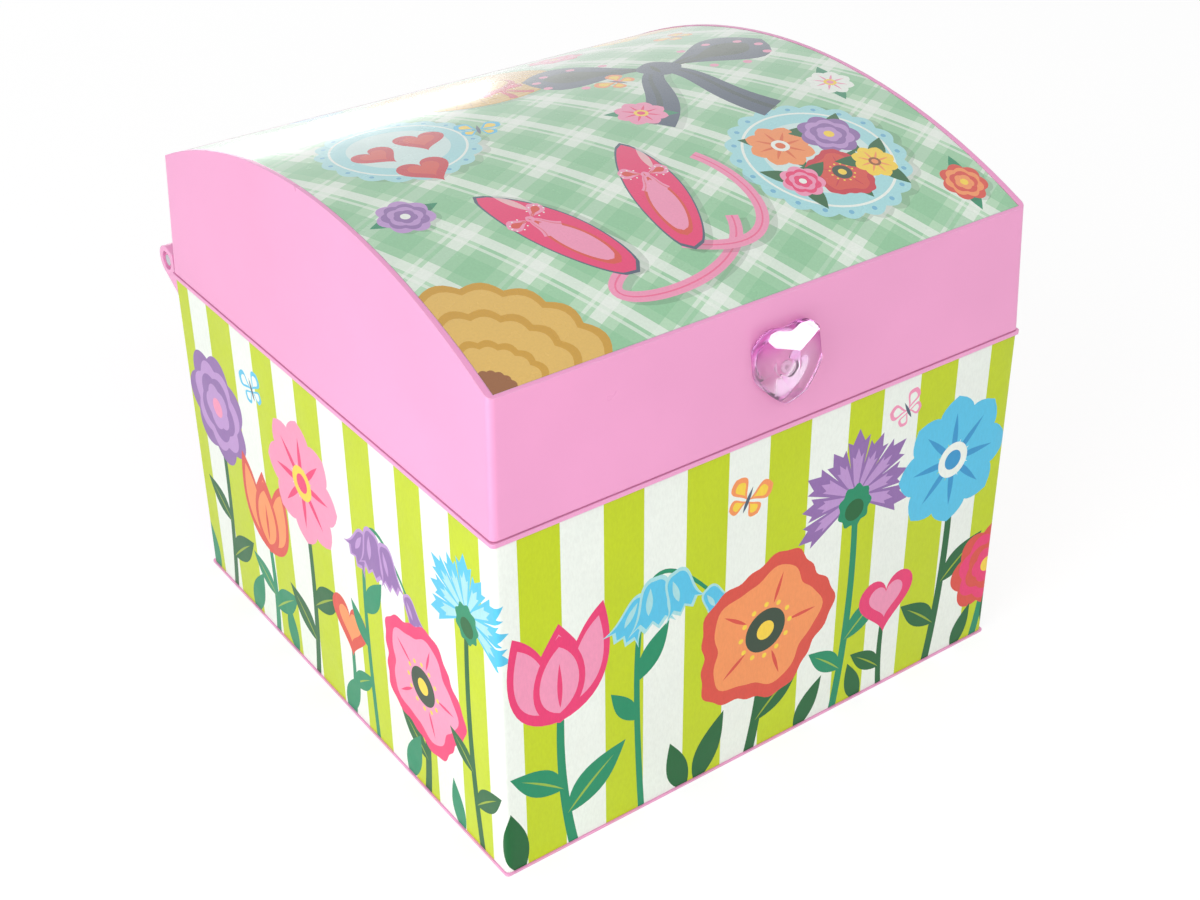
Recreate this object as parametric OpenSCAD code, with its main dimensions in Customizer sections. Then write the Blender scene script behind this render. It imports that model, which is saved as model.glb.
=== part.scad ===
// Musical ballerina jewellery box: a moulded case with a domed, hinged lid, a fitted tray,
// a dancer on a spring and a wind-up movement that turns her.
// Millimetres. X runs across the front, Y to the back, Z up. The origin is the middle of the
// footprint, on the surface that the case stands on.

/* [Case] */
// Width of the case across its rims
case_w = 150; // [144:1:180]
// Depth of the case across its rims
case_d = 150; // [146:1:180]
// Height of the case's top rim above the table
case_h = 90; // [86:1:110]
// Thickness of the moulded case and lid walls
wall = 2.2; // [1.8:0.1:2.6]
// Radius of the case wall's upright edges
corner_r = 0.8; // [0.6:0.1:3]
// Radius of the rim's and the foot's upright edges
rim_corner_r = 1; // [0.8:0.1:3]
// Radius of the lid's upright edges
lid_corner_r = 1.6; // [1.2:0.1:4]
// Height of the bare rim above the printed wrap
rim_h = 1; // [0.8:0.1:3]
// Height of the bare foot below the printed wrap
foot_h = 0.4; // [0.3:0.1:2]
// Distance that the rim and the foot stand out past the case wall
rim_out = 0.8; // [0.6:0.1:1.2]

/* [Printed sheets] */
// Thickness of the printed sheets
print_t = 0.3; // [0.2:0.05:0.4]
// Glue line behind a printed sheet
glue = 0.05; // [0.03:0.01:0.1]
// Bare width left between the wrap's ends and the case's back face
wrap_end = 0.8; // [0.8:0.1:8]
// Width of the lid's moulded edge around the printed sheet
sheet_edge = 1.6; // [1.2:0.1:4]

/* [Lid] */
// Height of the lid's upright walls
lid_side_h = 31.7; // [30:0.1:40]
// Rise of the dome above the upright walls
dome_rise = 17; // [12:0.5:24]
// Distance that each lid wall leans in over its height
lid_draft = 1.2; // [0:0.1:2]
// Gap between the case rim and the lid's lower edge
seam = 0.3; // [0.2:0.1:0.6]
// Width of the heart jewel
jewel_w = 19.5; // [16:0.5:24]
// Height of the heart jewel
jewel_h = 18.5; // [15:0.5:22]
// Thickness of the heart jewel
jewel_t = 6; // [4:0.5:8]

/* [Hinge] */
// Distance from the case's back wall to the hinge pin's axis
hinge_out = 5.8; // [5.6:0.1:7]
// Height of the hinge pin's axis above the case rim
hinge_up = 1; // [0.5:0.1:2]
// Radius of the hinge knuckles
knuckle_r = 4; // [3.5:0.1:4.2]
// Radius of the hinge pin
pin_r = 1.5; // [1:0.1:2]
// Length of each outer case knuckle
end_knuckle = 15; // [10:1:24]
// Length of the middle case knuckle
mid_knuckle = 36; // [20:1:50]
// Angle at which the lid meets its stop
open_max = 100; // [90:1:110]

/* [Mirror] */
// Width of the mirror
mirror_w = 104; // [80:1:112]
// Depth of the mirror
mirror_d = 82; // [60:1:96]
// Thickness of the mirror
mirror_t = 1.5; // [1:0.1:2]
// Thickness of the panel that holds the mirror
panel_t = 1.8; // [1.4:0.1:2.2]
// Width of the raised frame around the mirror
bezel_w = 3.5; // [2.5:0.1:5]

/* [Tray] */
// Thickness of the tray's deck, floors and partitions
tray_t = 1.8; // [1.4:0.1:2.2]
// Distance from the case rim down to the tray's deck
deck_drop = 2.2; // [1.5:0.1:4]
// Depth of the ring well below the deck
ring_depth = 20; // [16:1:26]
// Depth of the side wells below the deck
side_depth = 42; // [30:1:43]
// Gap between the movement and the floor of the dancer's well above it
movement_gap = 1.35; // [1:0.05:3]
// Number of ring rolls
rolls = 5; // [4:1:6]
// Thickness of a ring roll
roll_t = 7.5; // [6:0.1:7.5]
// Thickness of the felt linings
felt_t = 1; // [0.6:0.1:1.4]
// Radius of the dancer's round podium
podium_r = 22; // [19:0.5:24]
// Height of the podium above the well's floor
podium_h = 8; // [6:0.5:10]

/* [Dancer] */
// Radius of the turntable
table_r = 15; // [12:0.5:17]
// Thickness of the turntable
table_t = 2.6; // [2:0.1:3]
// Gap between her fingertips and the mirror above her
dancer_gap = 1.3; // [1:0.1:5]
// Radius of the tutu
tutu_r = 14; // [11:0.5:15]
// Length of the coil spring that carries the dancer
dancer_spring_h = 8; // [6:0.5:8]

/* [Movement] */
// Teeth of the barrel's gear
barrel_teeth = 40; // [36:2:44]
// Teeth of the spindle's gear
spindle_teeth = 20; // [18:2:22]
// Module of the barrel and spindle gears
gear_m = 0.6; // [0.55:0.01:0.62]
// Height of the spring barrel
barrel_h = 10; // [9:0.5:10.5]
// Teeth of the barrel's crown
crown_teeth = 36; // [30:6:36]
// Teeth of the cylinder's pinion
pinion_teeth = 12; // [10:2:12]
// Radius of the pinned cylinder
cylinder_r = 6; // [5:0.1:6.5]
// Length of the pinned cylinder
cylinder_l = 20; // [18:0.5:21]
// Tongues of the comb
tongues = 18; // [12:1:22]
// Teeth of the worm wheel
wheel_teeth = 16; // [14:1:17]
// Pitch radius of the governor's worm
worm_r = 2; // [1.8:0.1:2.2]
// Span of the winding key's wings
key_span = 23; // [18:0.5:25]
// Travel of the stop button
stop_travel = 2.5; // [1.5:0.1:2.8]

/* [Hidden] */

eps = 0.01;
fit = 0.05;                                   // radial clearance of a shaft that turns in a bore
loose = 0.4;                                  // gap around a piece that drops into another

// --- colours
PINK = "#f2a6d4";
PALE = "#fbe3ef";
LIME = "#c8d93a";
MINT = "#b4dcb4";
GEM = [0.95, 0.55, 0.85, 0.6];
PLUSH = "#d9479a";
STEEL = "#b9bcc2";
BRASS = "#c9a24a";
SKIN = "#f3c9a8";

// --- case
body_w = case_w - 2 * rim_out;
body_d = case_d - 2 * rim_out;
in_w = body_w - 2 * wall;
in_d = body_d - 2 * wall;
back_y = body_d / 2;                          // the case's back face

// --- bottom cover
cover_z = 3;
cover_t = 2.2;
cover_top = cover_z + cover_t;
post_r = 4;
post_x = in_w / 2 - post_r + loose;           // corner posts, sunk a little into the walls
post_y = in_d / 2 - post_r + loose;
screw_r = 1.1;
screw_bore = screw_r + fit;
screw_head_r = 2.4;
screw_head_h = 1.5;
screw_l = 9;
panel_grip = 5;                               // depth of a screw's thread in the lid's bosses
tray_grip = 6;
plate_grip = 4;
comb_grip = 4;

// --- tray
deck_z = case_h - deck_drop;                  // the deck's upper face
deck_under = deck_z - tray_t;
tray_w = in_w - 2 * loose;
tray_d = in_d - 2 * loose;
ledge_w = 1.6;
ledge_h = 3;
lip_t = 1.4;
lip_top = case_h + 2;
well_edge = 5.5;                              // deck left outside the wells
rail = 4;                                     // deck between two wells
side_shelf = 13;                              // deck left behind the side wells
stop_shelf = 15.7;                            // deck left behind the dancer's well
stage_back = 36;                              // from the dancer's axis to her well's back
roll_pitch = roll_t + loose;
ring_x = post_x - post_r - tray_t - 1;
ring_y0 = -tray_d / 2 + well_edge;
ring_y1 = ring_y0 + rolls * roll_pitch + loose;
ring_floor = deck_z - ring_depth;
side_x1 = tray_w / 2 - well_edge;
stage_x = 29;                                 // half the width of the dancer's well
side_x0 = stage_x + rail;
well_y0 = ring_y1 + rail;
side_y1 = tray_d / 2 - side_shelf;
side_floor = deck_z - side_depth;
stage_y1 = tray_d / 2 - stop_shelf;
stage_y = stage_y1 - stage_back;              // the dancer's axis, on the box's middle line

// --- lid
lid_z = case_h + seam;
lid_w = case_w - 2 * seam;
lid_d = case_d - 2 * seam;
lid_side_top = lid_z + lid_side_h;
lid_top = lid_side_top + dome_rise;
half_chord = lid_d / 2 - lid_draft;
dome_r = (half_chord * half_chord + dome_rise * dome_rise) / (2 * dome_rise);
dome_z = lid_top - dome_r;
sheet_sink = print_t + glue + 0.15;           // depth of the recess for the lid's sheet
sheet_x = lid_w / 2 - lid_draft - sheet_edge;
sheet_y = half_chord - sheet_edge / 2;
jewel_z = lid_z + lid_side_h / 2;
jewel_peg_r = 1.5;
clip_r = 4.5;
clip_t = 0.8;

// --- mirror panel
panel_drop = 5.4;                             // from the top of the upright walls
panel_z = lid_side_top - panel_drop;          // the panel's lower face
panel_x = lid_w / 2 - wall - lid_draft - loose;
panel_y = lid_d / 2 - wall - lid_draft - loose;
bezel_h = 1.9;
boss_in = 9;                                  // the screw bosses' distance from the panel's edges
boss_x = panel_x - boss_in;
boss_y = panel_y - boss_in;
boss_r = 3.2;

// --- hinge
hinge_y = back_y + hinge_out;
hinge_z = case_h + hinge_up;
hinge_l = body_w - 0.6;
knuckle_gap = 0.5;
lid_knuckle = (hinge_l - 2 * end_knuckle - mid_knuckle) / 2 - 2 * knuckle_gap;
lid_knuckle_x = mid_knuckle / 2 + knuckle_gap;
end_knuckle_x = hinge_l / 2 - end_knuckle;
pin_sink = 1.2;

// --- movement
key_room = 10.8;                              // from the cover to the bedplate
plate_z = cover_top + key_room;               // the bedplate's lower face
plate_t = 2;
plate_top = plate_z + plate_t;
barrel_r = gear_m * barrel_teeth / 2;
spindle_gear_r = gear_m * spindle_teeth / 2;
barrel_x = -(barrel_r + spindle_gear_r);
barrel_y = stage_y;
play = 0.6;                                   // end play between moving pieces
barrel_z = plate_top + play;
cup_inset = 1;                                // from the gear's pitch circle to the barrel's wall
cup_r = barrel_r - cup_inset;
gear_lift = 0.8;                              // from the barrel's foot to its gear
gear_z = barrel_z + gear_lift;
gear_t = 3;
arbor_r = 1.6;
hub_r = 3;
crown_r = cup_r - 0.5;                        // middle radius of the crown's teeth
crown_w = 1.8;
pinion_m = 2 * crown_r / crown_teeth;
pinion_r = pinion_m * pinion_teeth / 2;
crown_pitch_z = barrel_z + barrel_h + 0.75;
cylinder_z = crown_pitch_z + pinion_r;
pinion_y = barrel_y + crown_r;
bearing_room = 5.6;                           // from the pinion's middle to the cylinder
cylinder_y = pinion_y + bearing_room;
cylinder_end = cylinder_y + cylinder_l;
wheel_gap = 3;                                // from the cylinder's end to the worm wheel's middle
wheel_y = cylinder_end + wheel_gap;
wheel_t = 1.5;
wheel_r = 6;
wheel_m = 2 * wheel_r / wheel_teeth;
worm_lead = PI * wheel_m;
worm_x = barrel_x + wheel_r + worm_r;
small_arbor_r = 0.9;
pin_h = 0.5;
comb_t = 1;
comb_gap = 0.15;
tongue_l = 9;
comb_x0 = barrel_x + cylinder_r + pin_h + comb_gap;
comb_x1 = comb_x0 + tongue_l + 6;
plate_x0 = barrel_x - barrel_r - 3;
plate_x1 = max(comb_x1 + 1.5, spindle_gear_r + 2);
plate_y0 = barrel_y - barrel_r - 4;
plate_y1 = wheel_y + 8;
head_room = 1.3;                              // between the wheel, the fan and the bracket
fan_z = cylinder_z + wheel_r + head_room;
fan_r = 5.5;
fan_h = 3.6;
brake_z = fan_z + fan_h;
brake_t = 0.6;
brake_gap = 0.3;
bracket_top = brake_z + brake_t + head_room;
bracket_t = 1;
bearing_t = 1.6;
pillar_x = worm_x + fan_r + 1.5;              // the governor bracket's upright

// --- key
pocket_r = 15;
pocket_top = plate_z - 1;
pocket_ceiling = pocket_top - tray_t;
key_z = cover_z - 1;
key_h = 9;
key_t = 2.2;
wing_x = (key_span - key_h) / 2;              // middle of each wing

// --- dancer's well, over the movement
stage_floor = bracket_top + bracket_t + movement_gap + tray_t;
podium_top = stage_floor + podium_h;

// --- dancer
spindle_r = 1.5;
bush_r = 3;
table_gap = 0.4;                              // between the podium and the turntable
table_z = podium_top + table_gap;
toe_z = table_z + table_t + dancer_spring_h;
dancer_h = panel_z - mirror_t - dancer_gap - toe_z;
hip_z = toe_z + dancer_h * 0.48;
spring_r = 2;
spring_wire = 0.35;

// --- stop button
stop_x = worm_x;
stop_y = stage_y1 + tray_t + 7.5;
stop_rod_r = 1;
stop_cap_r = 2.4;
stop_cap_h = 8;
stop_top = lip_top + 0.4;                     // the button's top while the lid holds it down
stop_boss_r = 4;
spring_hole = 12;                             // depth of the button's spring pocket
guide_l = 20;                                 // depth of the button's guide below the deck
stop_seat = deck_z - spring_hole;
stop_guide = deck_z - guide_l;
stop_foot_z = brake_z + brake_t + brake_gap;
stop_foot_t = 1;
stop_spring_r = 1.7;

// ------------------------------------------------------------------ shared shapes

// Outline of a rectangle with round corners, as points on its straight sides and corner arcs.
function round_rect(w, d, r, n = 8) = [
    for (q = [0:3]) let (sx = (q == 0 || q == 3) ? 1 : -1, sy = q < 2 ? 1 : -1)
        for (i = [0:n]) let (a = 90 * (q + i / n))
            [sx * (w / 2 - r) + r * cos(a), sy * (d / 2 - r) + r * sin(a)]];

// Upright block with round corners, from z0 to z1.
module round_block(w, d, r, z0, z1)
    translate([0, 0, z0]) linear_extrude(z1 - z0) polygon(round_rect(w, d, r));

// Box given by its lowest and highest corners.
module span(a, b) translate(a) cube(b - a);

module at_corners(x, y) for (sx = [-1, 1], sy = [-1, 1]) translate([sx * x, sy * y, 0]) children();

// Cylinder along X from x0 to x1.
module bar_x(r, x0, x1, n = 48)
    translate([x0, 0, 0]) rotate([0, 90, 0]) cylinder(r = r, h = x1 - x0, $fn = n);

// Cylinder along Y from y0 to y1.
module bar_y(r, y0, y1)
    translate([0, y0, 0]) rotate([-90, 0, 0]) cylinder(r = r, h = y1 - y0, $fn = 48);

// Flat shape of the YZ plane, carried along X from x0 to x1.
module along_x(x0, x1) translate([x0, 0, 0]) rotate([90, 0, 90]) linear_extrude(x1 - x0) children();

// Pan-head screw whose head's seat is at z = 0 and whose shank points up.
module screw(length) {
    cylinder(r = screw_r, h = length, $fn = 24);
    difference() {
        translate([0, 0, -screw_head_h]) cylinder(r = screw_head_r, h = screw_head_h, $fn = 32);
        for (a = [0, 90]) rotate(a)
            span([-1.5, -0.3, -screw_head_h - eps], [1.5, 0.3, -screw_head_h + 0.7]);
    }
}

// Polar offset in degrees of an involute flank at radius r, from base radius rb.
function inv_deg(r, rb) = let (t = sqrt(max(0, pow(r / rb, 2) - 1))) t * 180 / PI - atan(t);

// Points of one involute gear tooth: left flank up, right flank down.
function tooth(z, m, add, ded, slack) = let (
    r = m * z / 2, rb = r * cos(20), r0 = r - ded, r1 = max(rb, r0), r2 = r + add,
    half = 90 / z - slack / r * 90 / PI + inv_deg(r, rb), n = 4,
    up = [for (i = [0:n]) let (q = r1 + (r2 - r1) * i / n) [q, half - inv_deg(q, rb)]])
    concat([[r0, up[0][1]]], up, [for (i = [n:-1:0]) [up[i][0], -up[i][1]]], [[r0, -up[0][1]]]);

// Outline of a gear, with a tooth centred on angle 0. The teeth run clockwise.
function gear_outline(z, m, add, ded, slack) = [
    for (k = [0:z - 1]) for (p = tooth(z, m, add, ded, slack))
        [p[0] * cos(p[1] - k * 360 / z), p[0] * sin(p[1] - k * 360 / z)]];

module spur_gear(z, m, t, add = 0.5, ded = 0.7, slack = 0.1)
    linear_extrude(t) polygon(gear_outline(z, m, add, ded, slack));

// Faces that close a tube of rings of k points each.
function tube_faces(rings, k) = concat(
    [[for (j = [0:k - 1]) j]],
    [for (i = [0:rings - 2]) for (j = [0:k - 1])
        [i * k + j, (i + 1) * k + j, (i + 1) * k + (j + 1) % k, i * k + (j + 1) % k]],
    [[for (j = [k - 1:-1:0]) (rings - 1) * k + j]]);

// Block with round corners between two heights, whose walls lean in by draft.
module leaning_block(w, d, r, z0, z1, draft) {
    foot = round_rect(w, d, r);
    head = round_rect(w - 2 * draft, d - 2 * draft, r);
    polyhedron(concat([for (p = foot) [p[0], p[1], z0]], [for (p = head) [p[0], p[1], z1]]),
               tube_faces(2, len(foot)));
}

// Round wire wound on a helix about Z, from z = 0 to z = h.
module coil(r, wire, h, turns, per_turn = 16, k = 8) {
    steps = turns * per_turn;
    rise = h - 2 * wire;
    points = [for (i = [0:steps]) for (j = [0:k - 1]) let (
        a = 360 * i / per_turn, b = -360 * j / k, q = r + wire * cos(b))
        [q * cos(a), q * sin(a), wire + rise * i / steps + wire * sin(b)]];
    polyhedron(points, tube_faces(steps + 1, k), convexity = 10);
}

// ------------------------------------------------------------------ case

// Profile of a case knuckle: the barrel and the flare that runs down into the back wall.
module case_knuckle_profile() {
    lean = 60;                                // where the flare leaves the barrel
    foot_y0 = back_y - wall / 2;
    from = [hinge_y + knuckle_r * cos(lean), hinge_z - knuckle_r * sin(lean)];
    run = (from[0] - back_y) / sin(lean);
    wall_at = from[1] - run * cos(lean);
    soft = 3;                                 // length of the flare's soft foot
    translate([hinge_y, hinge_z]) circle(knuckle_r, $fn = 48);
    polygon(concat(
        [[foot_y0, case_h - 0.2], [foot_y0, wall_at - soft], [back_y, wall_at - soft]],
        [for (i = [1:5]) let (t = i / 6) [
            back_y + soft * sin(lean) * t * t,
            wall_at - soft * (1 - t) * (1 - t) + soft * cos(lean) * t * t]],
        [from, [hinge_y, hinge_z], [back_y + 1.6, case_h - 0.2]]));
    // squared shoulder beside the lid, inside the circle that the lid's wall sweeps
    polygon([[hinge_y, case_h - 1], [hinge_y, hinge_z + knuckle_r - 0.15],
             [hinge_y - knuckle_r, hinge_z + 0.8 * knuckle_r], [hinge_y - knuckle_r, case_h - 1]]);
}

module case_knuckle(x0, x1) along_x(x0, x1) case_knuckle_profile();

module body_shell() color(PINK) difference() {
    union() {
        difference() {
            union() {
                round_block(body_w, body_d, corner_r, 0, case_h);
                round_block(case_w, case_d, rim_corner_r, case_h - rim_h, case_h);
                round_block(case_w, case_d, rim_corner_r, 0, foot_h);
            }
            round_block(in_w, in_d, 1, -1, case_h + eps);
        }
        // ledge that carries the tray's deck
        difference() {
            round_block(in_w + wall, in_d + wall, 1, deck_under - ledge_h, deck_under);
            round_block(in_w - 2 * ledge_w, in_d - 2 * ledge_w, 1,
                        deck_under - ledge_h - eps, deck_under + eps);
        }
        at_corners(post_x, post_y)
            translate([0, 0, cover_top]) cylinder(r = post_r, h = deck_under - cover_top, $fn = 32);
        case_knuckle(-hinge_l / 2, -end_knuckle_x);
        case_knuckle(-mid_knuckle / 2, mid_knuckle / 2);
        case_knuckle(end_knuckle_x, hinge_l / 2);
    }
    translate([0, hinge_y, hinge_z]) {
        bar_x(pin_r + fit, -hinge_l / 2 - 1, hinge_l / 2 + 1);
        bar_x(2.5, -hinge_l / 2 - 1, -hinge_l / 2 + pin_sink);
        bar_x(2.5, hinge_l / 2 - pin_sink, hinge_l / 2 + 1);
    }
    at_corners(post_x, post_y) {
        translate([0, 0, cover_top - 1]) cylinder(r = screw_bore, h = screw_l + 1, $fn = 24);
        translate([0, 0, deck_under - screw_l]) cylinder(r = screw_bore, h = screw_l + 1, $fn = 24);
    }
}

// Printed sheet glued round the front and both sides.
module body_wrap() color(LIME) difference() {
    round_block(body_w + 2 * (glue + print_t), body_d + 2 * (glue + print_t),
                corner_r + glue + print_t, foot_h + 0.1, case_h - rim_h - 0.1);
    round_block(body_w + 2 * glue, body_d + 2 * glue, corner_r + glue, 0, case_h);
    span([-case_w, back_y - wrap_end, 0], [case_w, case_d, case_h]);
}

module bottom_cover() color(PINK) difference() {
    union() {
        round_block(in_w - 2 * loose, in_d - 2 * loose, 1, cover_z, cover_top);
        translate([barrel_x, barrel_y, cover_z])
            cylinder(r = pocket_r + tray_t, h = pocket_top - cover_z, $fn = 64);
        at_movement_screws() translate([0, 0, cover_z])
            cylinder(r = 2.8, h = plate_z - cover_z, $fn = 32);
        // stiffening ribs
        for (sx = [-1, 1])
            span([sx * 46 - 0.8, -in_d / 2 + 12, cover_z], [sx * 46 + 0.8, in_d / 2 - 12, cover_top + 4]);
    }
    translate([barrel_x, barrel_y, cover_z - 1])
        cylinder(r = pocket_r, h = pocket_ceiling - cover_z + 1, $fn = 64);
    translate([barrel_x, barrel_y, 0]) cylinder(r = arbor_r + 0.8, h = plate_z, $fn = 32);
    at_corners(post_x, post_y) cylinder(r = screw_bore + 0.2, h = plate_z, $fn = 24);
    at_movement_screws() translate([0, 0, plate_z - plate_grip - 2])
        cylinder(r = screw_bore, h = plate_grip + 2 + eps, $fn = 24);
}

module cover_screws() color(STEEL)
    at_corners(post_x, post_y) translate([0, 0, cover_z]) screw(screw_l);

// ------------------------------------------------------------------ lid

// Cylinder that bounds the dome, with its surface in by inset.
module dome_cylinder(inset) translate([0, 0, dome_z])
    bar_x(dome_r - inset, -case_w, case_w, 360);

module lid_block(inset) intersection() {
    leaning_block(lid_w - 2 * inset, lid_d - 2 * inset, max(1, lid_corner_r - inset),
                  lid_z - (inset > 0 ? 1 : 0), lid_top + 1,
                  lid_draft * (lid_top + 1 - lid_z) / lid_side_h);
    dome_cylinder(inset);
}

module lid_knuckle_profile() {
    inside = lid_d / 2 - wall / 2;
    translate([hinge_y, hinge_z]) {
        circle(knuckle_r, $fn = 48);
        // heel that meets the case's rim when the lid is fully open
        rotate(open_max - 180) translate([0, -1]) square([hinge_y - case_d / 2 - 0.2, knuckle_r + 0.6]);
    }
    polygon([[inside, lid_z + 0.4], [hinge_y, hinge_z - 0.3],
             [hinge_y, hinge_z + knuckle_r - 0.15], [inside, hinge_z + knuckle_r - 0.15]]);
}

module lid_shell() color(PINK) difference() {
    union() {
        difference() {
            lid_block(0);
            lid_block(wall);
        }
        intersection() {
            at_corners(boss_x, boss_y) translate([0, 0, panel_z + panel_t])
                cylinder(r = boss_r, h = dome_rise + 10, $fn = 32);
            dome_cylinder(wall / 2);
        }
        for (s = [-1, 1])
            along_x(s * (lid_knuckle_x + lid_knuckle / 2) - lid_knuckle / 2,
                    s * (lid_knuckle_x + lid_knuckle / 2) + lid_knuckle / 2) lid_knuckle_profile();
        // finger that holds the stop button down
        span([stop_x - 2.5, stop_y - stop_cap_r, stop_top + 0.3],
             [stop_x + 2.5, lid_d / 2 - wall / 2, stop_top + 8]);
    }
    // recess for the printed sheet
    difference() {
        span([-sheet_x, -sheet_y, lid_side_top - 5], [sheet_x, sheet_y, lid_top + 5]);
        dome_cylinder(sheet_sink);
    }
    translate([0, hinge_y, hinge_z]) bar_x(pin_r + fit, -hinge_l / 2, hinge_l / 2);
    on_lid_front() translate([0, 0, -wall - 1]) cylinder(r = jewel_peg_r + 0.1, h = wall + 2, $fn = 48);
    at_corners(boss_x, boss_y) translate([0, 0, panel_z])
        cylinder(r = screw_bore, h = panel_t + panel_grip + 1, $fn = 24);
}

module lid_sheet() color(MINT) intersection() {
    difference() {
        dome_cylinder(sheet_sink - glue - print_t);
        dome_cylinder(sheet_sink - glue);
    }
    span([-sheet_x + 0.15, -sheet_y + 0.15, lid_side_top - 5], [sheet_x - 0.15, sheet_y - 0.15, lid_top]);
}

// Outline of a plump heart of width 1 and height 1, centred: a heart curve blended with a circle.
function heart(n) = [for (i = [0:n - 1]) let (
    a = 360 * i / n,
    rise = (13 * cos(a) - 5 * cos(2 * a) - 2 * cos(3 * a) - cos(4 * a) + 2.53) / 28.93)
    [0.225 * pow(sin(a), 3) + 0.275 * sin(a), (0.45 * rise + 0.275 * cos(a) + 0.0379) / 0.9242]];

// Places things on the lid's leaning front face: local Z points out of it.
module on_lid_front()
    translate([0, -lid_d / 2 + lid_draft * (jewel_z - lid_z) / lid_side_h, jewel_z])
        rotate([90 - atan(lid_draft / lid_side_h), 0, 0]) children();

// Girdle and sloping crown of a cut heart on a round peg.
module heart_jewel() color(GEM) on_lid_front() {
    girdle = 0.3 * jewel_t;
    translate([0, 0, glue]) linear_extrude(girdle) scale([jewel_w, jewel_h]) polygon(heart(24));
    translate([0, 0, glue + girdle]) linear_extrude(jewel_t - girdle - glue, scale = 0.5)
        scale([jewel_w, jewel_h]) polygon(heart(24));
    translate([0, 0, -wall - 2.4]) cylinder(r = jewel_peg_r, h = wall + 2.4 + girdle, $fn = 48);
}

module jewel_clip() color(STEEL) on_lid_front() translate([0, 0, -wall - glue - clip_t]) difference() {
    cylinder(r = clip_r, h = clip_t, $fn = 48);
    translate([0, 0, -1]) cylinder(r = jewel_peg_r + 0.02, h = clip_t + 2, $fn = 48);
}

module hinge_pin() color(STEEL) translate([0, hinge_y, hinge_z])
    bar_x(pin_r, -hinge_l / 2 + 0.4, hinge_l / 2 - 0.4);

// ------------------------------------------------------------------ mirror

module mirror_panel() color(PALE) difference() {
    union() {
        round_block(2 * panel_x, 2 * panel_y, 1.5, panel_z, panel_z + panel_t);
        round_block(mirror_w + 2 * bezel_w, mirror_d + 2 * bezel_w, 6, panel_z - bezel_h, panel_z + eps);
    }
    round_block(mirror_w + 0.4, mirror_d + 0.4, 3.2, panel_z - bezel_h - 1, panel_z);
    at_corners(boss_x, boss_y) translate([0, 0, panel_z - 1])
        cylinder(r = screw_bore + 0.2, h = panel_t + 2, $fn = 24);
}

module mirror_glass() color(STEEL)
    round_block(mirror_w, mirror_d, 3, panel_z - mirror_t, panel_z);

module panel_screws() color(STEEL)
    at_corners(boss_x, boss_y) translate([0, 0, panel_z]) screw(panel_t + panel_grip);

// ------------------------------------------------------------------ tray

// Inner space of each well: lowest corner, and x and y of the highest.
ring_well = [[-ring_x, ring_y0, ring_floor], [ring_x, ring_y1]];
left_well = [[-side_x1, well_y0, side_floor], [-side_x0, side_y1]];
right_well = [[side_x0, well_y0, side_floor], [side_x1, side_y1]];
stage_well = [[-stage_x, well_y0, stage_floor], [stage_x, stage_y1]];
wells = [ring_well, left_well, right_well, stage_well];

module tray() color(PALE) difference() {
    union() {
        round_block(tray_w, tray_d, 1, deck_under, deck_z);
        difference() {
            round_block(tray_w, tray_d, 1, deck_under, lip_top);
            round_block(tray_w - 2 * lip_t, tray_d - 2 * lip_t, 0.6, deck_under - 1, lip_top + 1);
        }
        for (w = wells)
            span([w[0][0] - tray_t, w[0][1] - tray_t, w[0][2] - tray_t],
                 [w[1][0] + tray_t, w[1][1] + tray_t, deck_z]);
        translate([stop_x, stop_y, stop_guide]) cylinder(r = stop_boss_r, h = deck_z - stop_guide, $fn = 40);
    }
    difference() {
        for (w = wells) span(w[0], [w[1][0], w[1][1], lip_top + 1]);
        translate([0, stage_y, 0]) cylinder(r = podium_r, h = podium_top, $fn = 96);
    }
    // hollow under the podium, with a boss left for the spindle's bush
    difference() {
        translate([0, stage_y, stage_floor - tray_t - 1])
            cylinder(r = podium_r - tray_t, h = podium_h + 1, $fn = 96);
        translate([0, stage_y, 0]) cylinder(r = bush_r + tray_t, h = podium_top, $fn = 40);
    }
    translate([0, stage_y, 0]) cylinder(r = bush_r + fit, h = podium_top + 1, $fn = 40);
    translate([stop_x, stop_y, stop_seat]) cylinder(r = stop_cap_r + fit, h = deck_z, $fn = 40);
    translate([stop_x, stop_y, 0]) cylinder(r = stop_rod_r + fit, h = deck_z, $fn = 32);
    at_corners(post_x, post_y) {
        translate([0, 0, deck_under - 1]) cylinder(r = screw_bore + 0.2, h = tray_t + 2, $fn = 24);
        translate([0, 0, deck_z]) cylinder(r = screw_head_r + 0.2, h = screw_head_h + 1, $fn = 32);
    }
}

module tray_screws() color(STEEL)
    at_corners(post_x, post_y) translate([0, 0, deck_z]) mirror([0, 0, 1]) screw(tray_t + tray_grip);

// One of the padded rolls that hold rings between them.
module ring_roll(i) color(PLUSH) {
    y = ring_y0 + loose + (i - 0.5) * roll_pitch - loose / 2;
    roll_h = ring_depth - 2.5;
    translate([0, y, ring_floor + 0.2]) along_x(-ring_x + loose, ring_x - loose) {
        translate([-roll_t / 2, 0]) square([roll_t, roll_h - roll_t / 2]);
        translate([0, roll_h - roll_t / 2]) circle(roll_t / 2, $fn = 40);
    }
}

module felt(w) span(w[0] + [loose, loose, glue], [w[1][0] - loose, w[1][1] - loose, w[0][2] + glue + felt_t]);

module side_felt_left() color(PLUSH) felt(left_well);
module side_felt_right() color(PLUSH) felt(right_well);

module stage_felt() color(PLUSH) difference() {
    felt(stage_well);
    translate([0, stage_y, 0]) cylinder(r = podium_r + loose, h = podium_top, $fn = 96);
}

// ------------------------------------------------------------------ dancer

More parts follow.
